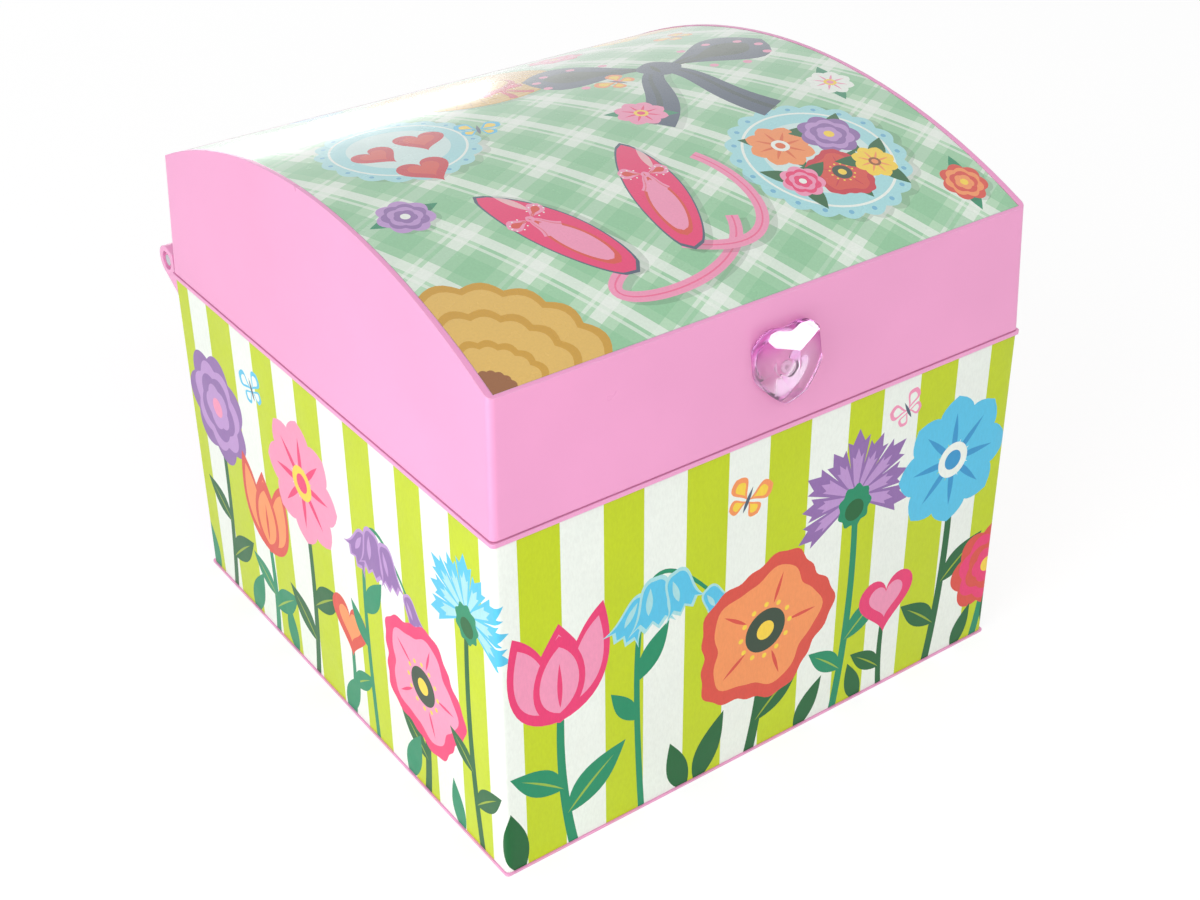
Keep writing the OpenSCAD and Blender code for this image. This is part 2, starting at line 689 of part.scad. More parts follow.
module stage_bush() color(BRASS) translate([0, stage_y, stage_floor - tray_t]) difference() {
    cylinder(r = bush_r, h = podium_h + tray_t, $fn = 40);
    translate([0, 0, -1]) cylinder(r = spindle_r + fit, h = podium_h + tray_t + 2, $fn = 40);
}

module turntable() color(PALE) translate([0, stage_y, table_z]) difference() {
    union() {
        cylinder(r = table_r, h = table_t - 0.8, $fn = 96);
        cylinder(r = table_r - 1.2, h = table_t, $fn = 96);
    }
    translate([0, 0, -1]) cylinder(r = spindle_r + 0.02, h = table_t, $fn = 40);
}

module dancer_spring() color(STEEL)
    translate([0, stage_y, table_z + table_t]) coil(spring_r, spring_wire, dancer_spring_h, 8);

// Tapered limb between two points.
module limb(a, b, ra, rb) hull() {
    translate(a) sphere(ra, $fn = 16);
    translate(b) sphere(rb, $fn = 16);
}

// Figure on one pointed toe, the other leg drawn up, arms in a ring over her head.
module dancer() color(SKIN) translate([0, stage_y, toe_z]) {
    u = dancer_h / 45;                        // one unit of her proportions
    scale(u) {
        translate([0, 0, 0]) cylinder(r = 2.2, h = 1, $fn = 32);
        limb([0, 0, 1.4], [0, 0, 11], 0.9, 1.5);
        limb([0, 0, 11], [0.8, 0, 22], 1.5, 2.3);
        limb([-0.8, 0, 21.5], [-7.5, -1, 15], 2.2, 1.4);
        limb([-7.5, -1, 15], [-1.2, -1.6, 10.5], 1.4, 0.8);
        limb([0, 0, 21.6], [0, 0, 26], 3.1, 2.2);
        limb([0, 0, 26], [0, 0, 31], 2.2, 2.7);
        limb([0, 0, 31], [0, 0, 34.6], 1.5, 1);
        translate([0, 0, 36.6]) scale([0.9, 0.95, 1.1]) sphere(2.8, $fn = 32);
        translate([0, 1, 39.6]) sphere(1.5, $fn = 24);
        for (s = [-1, 1]) {
            limb([s * 2.6, 0, 31.3], [s * 7.2, -0.6, 35.4], 1.1, 0.8);
            limb([s * 7.2, -0.6, 35.4], [s * 4.6, -1, 41.5], 0.8, 0.6);
            limb([s * 4.6, -1, 41.5], [s * 1.2, -1.2, 44.4], 0.6, 0.45);
        }
    }
}

// Stiff net skirt: a disc that waves up and down round its edge.
module tutu() color("#f7b7d8") translate([0, stage_y, hip_z]) {
    n = 72;
    inner = 3.8 * dancer_h / 45;
    thin = 0.7;
    k = 5;
    waves = 12;
    points = [for (i = [0:n - 1]) for (j = [0:2 * k - 1]) let (
        a = 360 * i / n, t = (j < k ? j : 2 * k - 1 - j) / (k - 1),
        q = inner + (tutu_r - inner) * t)
        [q * cos(a), q * sin(a), (j < k ? -thin / 2 : thin / 2) + 0.9 * t * sin(waves * a) - 1.2 * t * t]];
    faces = [for (i = [0:n - 1]) for (j = [0:2 * k - 1])
        [i * 2 * k + j, ((i + 1) % n) * 2 * k + j, ((i + 1) % n) * 2 * k + (j + 1) % (2 * k),
         i * 2 * k + (j + 1) % (2 * k)]];
    polyhedron(points, faces, convexity = 6);
}

module spindle() color(STEEL) translate([0, stage_y, plate_z])
    cylinder(r = spindle_r, h = table_z + table_t - 1.2 - plate_z, $fn = 40);

module spindle_gear() color(BRASS) translate([0, stage_y, gear_z]) difference() {
    rotate(180 / spindle_teeth) spur_gear(spindle_teeth, gear_m, gear_t);
    translate([0, 0, -1]) cylinder(r = spindle_r + 0.02, h = gear_t + 2, $fn = 40);
}

// ------------------------------------------------------------------ movement

module at_movement_screws()
    for (p = [[plate_x0 + 4, plate_y0 + 3], [plate_x1 - 3.5, plate_y0 + 3],
              [plate_x0 + 4, plate_y1 - 3.5], [plate_x1 - 3.5, plate_y1 - 3.5]])
        translate([p[0], p[1], 0]) children();

// Upright with a bearing hole for the cylinder's arbor, centred on y.
module bearing(y) difference() {
    union() {
        span([barrel_x - 3, y - bearing_t / 2, plate_z], [barrel_x + 3, y + bearing_t / 2, cylinder_z]);
        translate([barrel_x, 0, cylinder_z]) bar_y(3, y - bearing_t / 2, y + bearing_t / 2);
    }
    translate([barrel_x, 0, cylinder_z]) bar_y(small_arbor_r + fit, y - bearing_t, y + bearing_t);
}

front_bearing_y = (pinion_y + crown_w / 2 + cylinder_y) / 2;
rear_bearing_y = wheel_y + wheel_t / 2 + 0.6 + bearing_t / 2;
comb_seat_z = cylinder_z - comb_t / 2;

module bedplate() color(STEEL) difference() {
    union() {
        span([plate_x0, plate_y0, plate_z], [plate_x1, plate_y1, plate_top]);
        span([comb_x0 + tongue_l, cylinder_y, plate_z], [comb_x1, cylinder_end, comb_seat_z]);
        bearing(front_bearing_y);
        bearing(rear_bearing_y);
    }
    translate([barrel_x, barrel_y, 0]) cylinder(r = arbor_r + fit, h = case_h, $fn = 40);
    translate([0, stage_y, 0]) cylinder(r = spindle_r + fit, h = case_h, $fn = 40);
    at_movement_screws() cylinder(r = screw_bore + 0.2, h = case_h, $fn = 24);
    at_comb_screws() translate([0, 0, comb_seat_z - comb_grip - 1])
        cylinder(r = screw_bore, h = comb_grip + 2, $fn = 24);
}

module movement_screws() color(STEEL)
    at_movement_screws() translate([0, 0, plate_top]) mirror([0, 0, 1]) screw(plate_t + plate_grip);

// Cup that holds the mainspring, with its gear below and its crown teeth on top.
module spring_barrel() color(BRASS) translate([barrel_x, barrel_y, 0]) difference() {
    union() {
        translate([0, 0, barrel_z]) cylinder(r = cup_r, h = barrel_h, $fn = 64);
        translate([0, 0, gear_z]) spur_gear(barrel_teeth, gear_m, gear_t);
        for (i = [0:crown_teeth - 1]) rotate(i * 360 / crown_teeth) crown_tooth();
    }
    translate([0, 0, barrel_z + 1]) cylinder(r = cup_r - 1, h = barrel_h - 2, $fn = 64);
    cylinder(r = arbor_r + fit, h = case_h, $fn = 40);
}

// Radial tooth whose flanks slope like a rack's.
module crown_tooth() {
    half = PI * pinion_m / 4 - 0.1;
    translate([crown_r - crown_w / 2, 0, crown_pitch_z]) rotate([90, 0, 90]) linear_extrude(crown_w)
        polygon([[-half - 0.31, -0.85], [half + 0.31, -0.85],
                 [half - 0.45 * tan(20), 0.45], [-half + 0.45 * tan(20), 0.45]]);
}

// Flat steel strip wound in a spiral.
module mainspring() color("#6d7278") translate([barrel_x, barrel_y, barrel_z + 2]) {
    turns = 7;
    strip = 0.35;
    n = turns * 24;
    r0 = hub_r + 0.3;
    r1 = cup_r - 1.4;
    spiral = function (off) [for (i = [0:n]) let (a = 360 * turns * i / n, q = r0 + (r1 - r0) * i / n + off)
        [q * cos(a), q * sin(a)]];
    inside = spiral(0);
    outside = spiral(strip);
    linear_extrude(barrel_h - 4) polygon(concat(inside, [for (i = [n:-1:0]) outside[i]]));
}

module winding_arbor() color(STEEL) translate([barrel_x, barrel_y, 0]) {
    translate([0, 0, key_z + 1]) cylinder(r = arbor_r, h = barrel_z + barrel_h + 0.6 - key_z - 1, $fn = 40);
    translate([0, 0, barrel_z + 1.3]) cylinder(r = hub_r, h = barrel_h - 2.6, $fn = 48);
}

// Butterfly key: two round wings on a hub.
module winding_key() color(BRASS) translate([barrel_x, barrel_y, key_z]) difference() {
    union() {
        cylinder(r = 3.2, h = key_h, $fn = 48);
        rotate([90, 0, 0]) translate([0, 0, -key_t / 2]) linear_extrude(key_t) for (s = [-1, 1])
            translate([s * wing_x, key_h / 2]) circle(key_h / 2, $fn = 48);
        span([-wing_x, -key_t / 2, 1.5], [wing_x, key_t / 2, key_h - 1.5]);
    }
    for (s = [-1, 1]) translate([s * wing_x, 0, key_h / 2]) bar_y(2, -key_t, key_t);
    translate([0, 0, 1]) cylinder(r = arbor_r + 0.02, h = key_h, $fn = 40);
}

module on_cylinder_axis() translate([barrel_x, 0, cylinder_z]) children();

// Brass drum whose pins pluck the comb.
module cylinder_drum() {
    rows = tongues;
    difference() {
        bar_y(cylinder_r, cylinder_y, cylinder_end);
        bar_y(cylinder_r - 1, cylinder_y + 1, cylinder_end - 1);
        bar_y(small_arbor_r + 0.02, cylinder_y - 1, cylinder_end + 1);
    }
    for (i = [0:rows - 1], k = [0:2])
        rotate([0, (i * 137 + k * 113) % 360, 0])
            translate([0, cylinder_y + (i + 0.5) * cylinder_l / rows, cylinder_r - 0.3])
                cylinder(r = 0.22, h = pin_h + 0.3, $fn = 16);
}

module cylinder_part() color(BRASS) on_cylinder_axis() cylinder_drum();

module cylinder_arbor() color(STEEL) on_cylinder_axis()
    bar_y(small_arbor_r, pinion_y - crown_w / 2 - 0.6, rear_bearing_y + bearing_t / 2 + 0.6);

module cylinder_pinion() color(STEEL) on_cylinder_axis()
    translate([0, pinion_y - crown_w / 2, 0]) rotate([-90, 0, 0]) difference() {
        rotate(90 + 180 / pinion_teeth) spur_gear(pinion_teeth, pinion_m, crown_w, 0.45, 0.65, 0.1);
        translate([0, 0, -1]) cylinder(r = small_arbor_r + 0.02, h = 5, $fn = 32);
    }

module worm_wheel() color(BRASS) on_cylinder_axis()
    translate([0, wheel_y - wheel_t / 2, 0]) rotate([-90, 0, 0]) difference() {
        spur_gear(wheel_teeth, wheel_m, wheel_t, 0.5, 0.75, 0.2);
        translate([0, 0, -1]) cylinder(r = small_arbor_r + 0.02, h = 5, $fn = 32);
    }

module at_comb_screws() for (y = [cylinder_y + 4, cylinder_end - 4])
    translate([comb_x1 - 3, y, 0]) children();

// Steel comb, its tongues cut through to a solid heel.
module comb() color("#8d9298") difference() {
    pitch = cylinder_l / tongues;
    span([comb_x0, cylinder_y + pitch * 0.1, comb_seat_z],
         [comb_x1, cylinder_end - pitch * 0.1, comb_seat_z + comb_t]);
    for (i = [1:tongues - 1])
        span([comb_x0 - 1, cylinder_y + i * pitch - 0.12, comb_seat_z - 1],
             [comb_x0 + tongue_l - 3 * i / tongues, cylinder_y + i * pitch + 0.12, comb_seat_z + comb_t + 1]);
    at_comb_screws() cylinder(r = screw_bore + 0.2, h = case_h, $fn = 24);
}

module comb_screws() color(STEEL)
    at_comb_screws() translate([0, 0, comb_seat_z + comb_t]) mirror([0, 0, 1]) screw(comb_t + comb_grip);

module on_worm_axis() translate([worm_x, wheel_y, 0]) children();

worm_root = worm_r - 0.7;
worm_tip = worm_r + 0.45;
worm_half = 3.4;                              // half the worm's threaded length
worm_pivot_r = 0.6;

// Screw thread of one start, whose turns pass the wheel half a pitch off its middle tooth.
module governor_worm() color(STEEL) on_worm_axis() {
    per_turn = 24;
    turns = 2 * worm_half / worm_lead;
    steps = ceil(turns * per_turn);
    section = [[worm_root - 0.2, -0.5], [worm_root - 0.2, 0.5], [worm_tip, 0.22], [worm_tip, -0.22]];
    points = [for (i = [0:steps]) let (t = -0.5 * turns + turns * i / steps) for (p = section)
        [p[0] * cos(360 * t), p[0] * sin(360 * t), cylinder_z + worm_lead * t + p[1]]];
    polyhedron(points, tube_faces(steps + 1, 4), convexity = 10);
    translate([0, 0, cylinder_z - worm_half - 0.8])
        cylinder(r = worm_root, h = 2 * worm_half + 1.6, $fn = 32);
    translate([0, 0, cylinder_z - worm_half - 2.4])
        cylinder(r = worm_pivot_r, h = bracket_top - cylinder_z + worm_half + 2.4 + 0.6, $fn = 24);
}

// Air brake: two vanes under a friction disc.
module governor_fan() color(BRASS) on_worm_axis() difference() {
    union() {
        translate([0, 0, fan_z]) cylinder(r = 1.5, h = fan_h, $fn = 32);
        span([-fan_r, -0.2, fan_z], [fan_r, 0.2, brake_z]);
        translate([0, 0, brake_z]) cylinder(r = fan_r - 1, h = brake_t, $fn = 48);
    }
    cylinder(r = worm_pivot_r + 0.02, h = case_h, $fn = 24);
}

module governor_bracket() color(STEEL) difference() {
    union() {
        for (z = [cylinder_z - worm_half - 2.6, bracket_top])
            span([worm_x - 1.8, wheel_y - 1.8, z], [pillar_x + 1, wheel_y + 1.8, z + bracket_t]);
        span([pillar_x, wheel_y - 1.8, plate_top], [pillar_x + 1, wheel_y + 1.8, bracket_top + bracket_t]);
        span([pillar_x, wheel_y - 1.8, plate_top], [pillar_x + 4, wheel_y + 1.8, plate_top + 1]);
    }
    on_worm_axis() cylinder(r = worm_pivot_r + fit, h = case_h, $fn = 24);
}

// ------------------------------------------------------------------ stop button

// Button, rod and foot that brakes the fan's disc while the lid is shut.
module stop_button() color(STEEL) translate([stop_x, stop_y, 0]) {
    translate([0, 0, stop_foot_z]) cylinder(r = stop_rod_r, h = stop_top - stop_foot_z, $fn = 32);
    translate([0, 0, stop_top - stop_cap_h]) cylinder(r = stop_cap_r, h = stop_cap_h, $fn = 40);
    translate([0, 0, stop_guide - stop_travel - 2]) cylinder(r = 1.8, h = 1.6, $fn = 32);
    span([-1, wheel_y + fan_r - 3 - stop_y, stop_foot_z], [1, 0, stop_foot_z + stop_foot_t]);
}

module stop_spring() color(STEEL) translate([stop_x, stop_y, stop_seat + 0.1])
    coil(stop_spring_r, 0.25, stop_top - stop_cap_h - stop_seat - 0.2, 7);

// ------------------------------------------------------------------ the pieces

body_shell();
body_wrap();
bottom_cover();
cover_screws();
lid_shell();
lid_sheet();
heart_jewel();
jewel_clip();
hinge_pin();
mirror_panel();
mirror_glass();
panel_screws();
tray();
tray_screws();
for (i = [1:rolls])
    ring_roll(i);
side_felt_left();
side_felt_right();
stage_felt();
stage_bush();
turntable();
dancer_spring();
dancer();
tutu();
spindle();
spindle_gear();
bedplate();
movement_screws();
spring_barrel();
mainspring();
winding_arbor();
winding_key();
cylinder_part();  // cylinder
cylinder_arbor();
cylinder_pinion();
worm_wheel();
comb();
comb_screws();
governor_worm();
governor_fan();
governor_bracket();
stop_button();
stop_spring();
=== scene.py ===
# %% Musical jewellery box: a lesson in cells
"""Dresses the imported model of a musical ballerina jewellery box.

Each step has a note that says what the piece is on the real object and how it is made here, and
then short code. Sizes are written in millimetres, as on a maker's drawing, and become metres
when they go into a mesh. X runs across the front, Y to the back, Z up."""

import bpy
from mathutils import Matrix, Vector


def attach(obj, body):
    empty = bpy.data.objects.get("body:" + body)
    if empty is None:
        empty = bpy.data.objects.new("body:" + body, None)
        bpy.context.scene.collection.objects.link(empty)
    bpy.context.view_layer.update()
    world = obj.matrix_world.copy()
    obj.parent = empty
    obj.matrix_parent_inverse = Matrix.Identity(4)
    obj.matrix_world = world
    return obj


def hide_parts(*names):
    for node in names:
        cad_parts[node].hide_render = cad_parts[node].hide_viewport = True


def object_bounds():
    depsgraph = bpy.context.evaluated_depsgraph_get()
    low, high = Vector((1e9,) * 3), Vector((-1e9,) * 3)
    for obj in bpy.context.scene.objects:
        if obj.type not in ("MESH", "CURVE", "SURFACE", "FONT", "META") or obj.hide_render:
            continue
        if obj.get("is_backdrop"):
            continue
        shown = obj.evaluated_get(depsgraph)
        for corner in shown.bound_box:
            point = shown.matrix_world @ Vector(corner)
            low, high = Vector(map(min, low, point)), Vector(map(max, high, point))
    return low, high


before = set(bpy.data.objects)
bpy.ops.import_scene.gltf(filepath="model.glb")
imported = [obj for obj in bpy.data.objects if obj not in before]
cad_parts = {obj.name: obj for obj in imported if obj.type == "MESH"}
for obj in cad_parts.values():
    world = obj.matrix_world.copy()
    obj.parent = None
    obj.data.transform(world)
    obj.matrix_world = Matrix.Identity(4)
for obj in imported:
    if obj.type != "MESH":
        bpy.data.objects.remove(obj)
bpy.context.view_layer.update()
print("CAD nodes:", len(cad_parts))

# %% [markdown]
# The only libraries are Blender's own and numpy. Every shape below is a formula on whole arrays:
# rows of numbers go in, a mesh comes out. One helper puts points and faces into a mesh. Most
# meshes are stacks of rings, so a few more helpers number the faces of such a stack.

# %% Points and faces into a mesh
from math import asin, atan, cos, pi, radians, sin

import bmesh
import bpy
import numpy as np
from mathutils import Matrix, Vector
from mathutils.geometry import delaunay_2d_cdt

MM = 0.001
TURN = 2 * pi


def put_mesh(name, points, quads=(), triangles=(), smooth=True):
    """A mesh object from points in millimetres, quads as rows of four numbers and triangles as
    rows of three."""
    quads = np.asarray(quads, np.int32).reshape(-1, 4)
    triangles = np.asarray(triangles, np.int32).reshape(-1, 3)
    mesh = bpy.data.meshes.new(name)
    points = np.asarray(points, float).reshape(-1, 3) * MM
    mesh.vertices.add(len(points))
    mesh.vertices.foreach_set("co", points.astype(np.float32).ravel())
    corners = np.concatenate([quads.ravel(), triangles.ravel()])
    starts = np.concatenate([np.arange(len(quads)) * 4,
                             len(quads) * 4 + np.arange(len(triangles)) * 3])
    mesh.loops.add(len(corners))
    mesh.loops.foreach_set("vertex_index", corners)
    mesh.polygons.add(len(starts))
    mesh.polygons.foreach_set("loop_start", starts)
    mesh.update(calc_edges=True)
    mesh.shade_smooth() if smooth else mesh.shade_flat()
    thing = bpy.data.objects.new(name, mesh)
    bpy.context.scene.collection.objects.link(thing)
    return thing


def ring_quads(rings, count):
    """Quads between the rings of a stack. Point j of ring i has number i * count + j, and the last
    point of a ring joins its first."""
    i = np.arange(rings - 1)[:, None]
    j = np.arange(count)[None, :]
    here, after = i * count + j, i * count + (j + 1) % count
    return np.stack([here, after, after + count, here + count], axis=-1).reshape(-1, 4)


def fan(tip, count, first=0, inwards=False):
    """Triangles from the point tip to a closed ring of count points whose first has that number."""
    here = np.arange(count)
    after = (here + 1) % count
    pair = (after, here) if inwards else (here, after)
    return np.stack([np.full(count, tip), first + pair[0], first + pair[1]], axis=1)


def end_caps(rings, count):
    """Triangles that close both ends of a stack, drawn from the first point of each end ring."""
    k = np.arange(1, count - 1)
    foot = np.stack([0 * k, k + 1, k], axis=1)
    head = np.stack([0 * k, k, k + 1], axis=1) + (rings - 1) * count
    return np.concatenate([foot, head])


def sheet_quads(rings, count, hole=True):
    """Quads of a thick sheet made of two stacks of rings, its upper face's points first: the two
    faces, the outer edge and the edge of the hole."""
    faces = ring_quads(rings, count)
    here, after = np.arange(count), (np.arange(count) + 1) % count
    below, far = rings * count, (rings - 1) * count
    parts = [faces[:, ::-1], below + faces,
             np.stack([far + after, far + here, below + far + here, below + far + after], axis=1)]
    if hole:
        parts.append(np.stack([here, after, below + after, below + here], axis=1))
    return np.concatenate(parts)


def places_of(mesh):
    """The points of a mesh, in millimetres."""
    flat = np.empty(len(mesh.vertices) * 3)
    mesh.vertices.foreach_get("co", flat)
    return flat.reshape(-1, 3) / MM


def quads_of(mesh):
    """The faces of a mesh that has nothing but quads."""
    corners = np.empty(len(mesh.loops), np.int32)
    mesh.loops.foreach_get("vertex_index", corners)
    return corners.reshape(-1, 4)


def srgb(red, green, blue):
    """A colour written as 0 to 255 on a screen, as the linear numbers that light adds up in."""
    value = np.array([red, green, blue]) / 255
    return tuple(np.where(value <= 0.04045, value / 12.92, ((value + 0.055) / 1.055) ** 2.4))


print("three rings of eight points have", len(ring_quads(3, 8)), "quads between them")

# %% [markdown]
# The camera stands where a person's eye would be who looks at the box from the front left and a
# little above, at about half a metre. Its place was worked out from the box's corners. The film
# is 36 mm across and the lens a little under 55 mm, which gives the same narrowing to the back.

# %% Camera
EYE = Vector((-229.147, -327.277, 298.026)) * MM
AZIMUTH, DOWN, ROLL = radians(35.6047), radians(30.6511), radians(-0.5062)
FILM = 36                                      # the film's width, in mm
PICTURE, FOCAL, LIFT = 1200, 1824.34, 50       # in pixels: width, focal length, upward shift

ahead = Vector((sin(AZIMUTH) * cos(DOWN), cos(AZIMUTH) * cos(DOWN), -sin(DOWN)))
level = ahead.cross(Vector((0, 0, 1))).normalized()
upward = level.cross(ahead)
right = cos(ROLL) * level + sin(ROLL) * upward
upward = cos(ROLL) * upward - sin(ROLL) * level

camera_data = bpy.data.cameras.new("Camera")
camera = bpy.data.objects.new("Camera", camera_data)
camera_data.sensor_width = FILM
camera_data.lens = FOCAL / PICTURE * FILM
camera_data.shift_y = -LIFT / PICTURE
camera_data.clip_start = 0.01
facing = Matrix((right, upward, -ahead)).transposed().to_4x4()
camera.matrix_world = Matrix.Translation(EYE) @ facing
bpy.context.scene.collection.objects.link(camera)
bpy.context.scene.camera = camera
print("lens", round(camera_data.lens, 2), "mm")

# %% [markdown]
# Catalogue pictures of toys are taken on a white sweep under large soft lamps. The floor here is
# a plain pale sheet that still takes a soft shadow, and the sky is white. What the camera, a
# glossy surface or clear plastic sees of the sky is pure white; what lights the box is a
# little weaker, so that colours come out about as they are written. One large lamp stands high
# on the left, which makes the left side the bright one, and a weaker one fills the front. A
# small one close to the front left corner makes the light fall off towards the back. A low strip
# behind is there for its reflection alone: it whitens the back left of the glossy lid.

# %% Floor, sky and lamps
def feed(tree, node, **inputs):
    """Gives a node its inputs. Each is a number, a colour or another node's socket, and its name is
    the socket's with _ for a space, or s0, s1 and so on for a socket by its number."""
    for key, value in inputs.items():
        socket = node.inputs[int(key[1:]) if key[1:].isdigit() else key.replace("_", " ")]
        if isinstance(value, bpy.types.NodeSocket):
            tree.links.new(value, socket)
        elif socket.type == "RGBA" and len(value) == 3:
            socket.default_value = (*value, 1)
        else:
            socket.default_value = value
    return node


def add_node(tree, kind, settings=None, **inputs):
    """Adds one shader node to a tree. Settings are the node's own options, and the inputs are
    given as in feed."""
    node = tree.nodes.new("ShaderNode" + kind)
    for key, value in (settings or {}).items():
        setattr(node, key, value)
    return feed(tree, node, **inputs)


def maths(tree, operation, first, second=0.0):
    """One sum on numbers or sockets, such as MAXIMUM or MULTIPLY."""
    return add_node(tree, "Math", {"operation": operation}, s0=first, s1=second).outputs[0]


def empty_tree(owner):
    """Switches on the nodes of a material or a sky, and takes the ready-made ones out."""
    owner.use_nodes = True
    owner.node_tree.nodes.clear()
    return owner.node_tree


def looked_at(tree):
    """1 for what the camera, a glossy surface or clear plastic sees, and 0 for plain lighting."""
    rays = add_node(tree, "LightPath").outputs
    seen = maths(tree, "MAXIMUM", rays["Is Camera Ray"], rays["Is Glossy Ray"])
    return maths(tree, "MAXIMUM", seen, rays["Is Transmission Ray"])


WHITE, PAPER_GREY = (1, 1, 1), (0.97, 0.97, 0.97)
SKY_LIGHT = 0.60                # what the sky gives to the box
FLOOR_GLOW = 1.10               # how bright the floor looks where no shadow falls
SHADOW_SHARE = 0.30             # how much of the floor's shadow is seen
HALF_FLOOR, FLOOR_Z = 3000, -0.05

sky = bpy.data.worlds.new("Sky")
bpy.context.scene.world = sky
tree = empty_tree(sky)
lit = add_node(tree, "Background", Color=WHITE, Strength=SKY_LIGHT).outputs[0]
plain = add_node(tree, "Background", Color=WHITE, Strength=1.0).outputs[0]
mixed = add_node(tree, "MixShader", s0=looked_at(tree), s1=lit, s2=plain)
add_node(tree, "OutputWorld", Surface=mixed.outputs[0])

paper = bpy.data.materials.new("floor_paper")
tree = empty_tree(paper)
share = maths(tree, "MULTIPLY", looked_at(tree), 1 - SHADOW_SHARE)
matt = add_node(tree, "BsdfDiffuse", Color=PAPER_GREY).outputs[0]
glow = add_node(tree, "Emission", Color=WHITE, Strength=FLOOR_GLOW).outputs[0]
mixed = add_node(tree, "MixShader", s0=share, s1=matt, s2=glow)
add_node(tree, "OutputMaterial", Surface=mixed.outputs[0])

corners = [(x * HALF_FLOOR, y * HALF_FLOOR, FLOOR_Z) for x, y in ((-1, -1), (1, -1), (1, 1), (-1, 1))]
floor = put_mesh("floor", corners, quads=[(0, 1, 2, 3)], smooth=False)
floor.data.materials.append(paper)
floor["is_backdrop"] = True


def soft_lamp(name, at, aim, size, watts, tall=None):
    """An area lamp at a point, in millimetres, which faces another point. It is square unless its
    height is given as well."""
    data = bpy.data.lights.new(name, "AREA")
    data.shape = "RECTANGLE"
    data.size, data.size_y, data.energy = size * MM, (tall or size) * MM, watts
    lamp = bpy.data.objects.new(name, data)
    at, aim = Vector(at) * MM, Vector(aim) * MM
    lamp.location = at
    lamp.rotation_euler = (aim - at).to_track_quat("-Z", "Y").to_euler()
    bpy.context.scene.collection.objects.link(lamp)
    return lamp


soft_lamp("key_lamp", (-1100, -350, 760), (0, 0, 60), 700, 4.8)
soft_lamp("side_lamp", (-290, -125, 60), (-75, -60, 85), 150, 0.19)
soft_lamp("fill_lamp", (-350, -850, 620), (0, 0, 60), 600, 2.0)
soft_lamp("back_lamp", (235, 1190, 140), (0, 0, 110), 770, 1.9, tall=240)
soft_lamp("sparkle_lamp", (590, -600, 716), (0, -75, 106), 90, 0.5)
bpy.context.scene.view_settings.view_transform = "Standard"

# %% [markdown]
# The case and the lid are moulded in a pink plastic with a soft shine. Such plastic is never one
# even colour: it clouds a little, its skin has a very fine grain, and every edge is slightly
# rounded and catches the light. The finish reads Object coordinates, which are the same as the
# box's own frame, so that the clouds stay where they are on the piece. The rounding comes from a
# Bevel node, because the frame's own meshes stay as they are. The light the edges catch is partly
# a painted highlight: a paler colour is mixed in where the rounded normal leans off the true one.

# %% Moulded plastic
def new_finish(name):
    """An empty finish: its material, its tree, its Principled shader and Object coordinates."""
    stuff = bpy.data.materials.new(name)
    tree = empty_tree(stuff)
    shader = add_node(tree, "BsdfPrincipled")
    add_node(tree, "OutputMaterial", Surface=shader.outputs[0])
    place = add_node(tree, "TexCoord").outputs["Object"]
    return stuff, tree, shader, place


def noise(tree, place, size_mm, detail=3, stretch=(1, 1, 1)):
    """Noise from 0 to 1 whose lumps are about size_mm across, drawn out along an axis where
    stretch is under 1."""
    spread = add_node(tree, "Mapping", Vector=place, Scale=stretch)
    made = add_node(tree, "TexNoise", Vector=spread.outputs[0], Scale=1 / (size_mm * MM),
                    Detail=detail, Roughness=0.55)
    return made.outputs[0]


def between(tree, fac, low, high, start=0.0, end=1.0):
    """Maps fac from start..end to low..high, held at both ends."""
    made = add_node(tree, "MapRange", s0=fac, s1=start, s2=end, s3=low, s4=high)
    return made.outputs[0]


def uneven(tree, place, size_mm, detail, low, high, start=0.3, end=0.7):
    """A value that wanders between low and high in lumps of size_mm."""
    return between(tree, noise(tree, place, size_mm, detail), low, high, start, end)


def blend_colours(tree, fac, first, second):
    """The colour first where fac is 0, second where it is 1."""
    made = add_node(tree, "Mix", {"data_type": "RGBA"}, s0=fac, s6=first, s7=second)
    return made.outputs[2]


def relief(tree, height, depth_mm, normal=None):
    """Bumps of depth_mm where height goes from 0 to 1, on top of another normal if one is given."""
    inputs = dict(Height=height, Distance=depth_mm * MM, Strength=1.0)
    if normal is not None:
        inputs["Normal"] = normal
    return add_node(tree, "Bump", **inputs).outputs[0]


def soft_edges(tree, radius_mm):
    """A normal that rounds the edges of a CAD node by radius_mm."""
    return add_node(tree, "Bevel", {"samples": 6}, Radius=radius_mm * MM).outputs[0]


def edge_mask(tree, rounded):
    """1 on a rounded edge and 0 on the flats: how far the rounded normal leans off the true one."""
    true = add_node(tree, "NewGeometry").outputs["True Normal"]
    both = add_node(tree, "VectorMath", {"operation": "DOT_PRODUCT"}, s0=rounded, s1=true)
    return between(tree, both.outputs["Value"], 1.0, 0.0, 0.72, 0.99)


def moulded(name, colour, edge_highlight_colour, roughness, grain_mm=0.5, grain_depth=0.0012, round_mm=0.35):
    """Moulded plastic: clouded colour, painted highlights on the edges, fine grain and a soft shine."""
    stuff, tree, shader, place = new_finish(name)
    rounded = soft_edges(tree, round_mm)
    clouds = uneven(tree, place, 38, 2, 0.0, 1.0, 0.32, 0.68)
    body = blend_colours(tree, clouds, tuple(0.955 * c for c in colour), colour)
    # painted highlight: the rounded edges are mixed to a paler colour
    body = blend_colours(tree, edge_mask(tree, rounded), body, edge_highlight_colour)
    grain = noise(tree, place, grain_mm, 2)
    feed(tree, shader, Base_Color=body, Normal=relief(tree, grain, grain_depth, rounded), IOR=1.5,
         Roughness=uneven(tree, place, 11, 3, roughness - 0.03, roughness + 0.03, 0.2, 0.8))
    return stuff


def dress(finish, *names):
    """Gives CAD nodes a finish."""
    for name in names:
        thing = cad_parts[name]
        thing.data.materials.clear()
        thing.data.materials.append(finish)
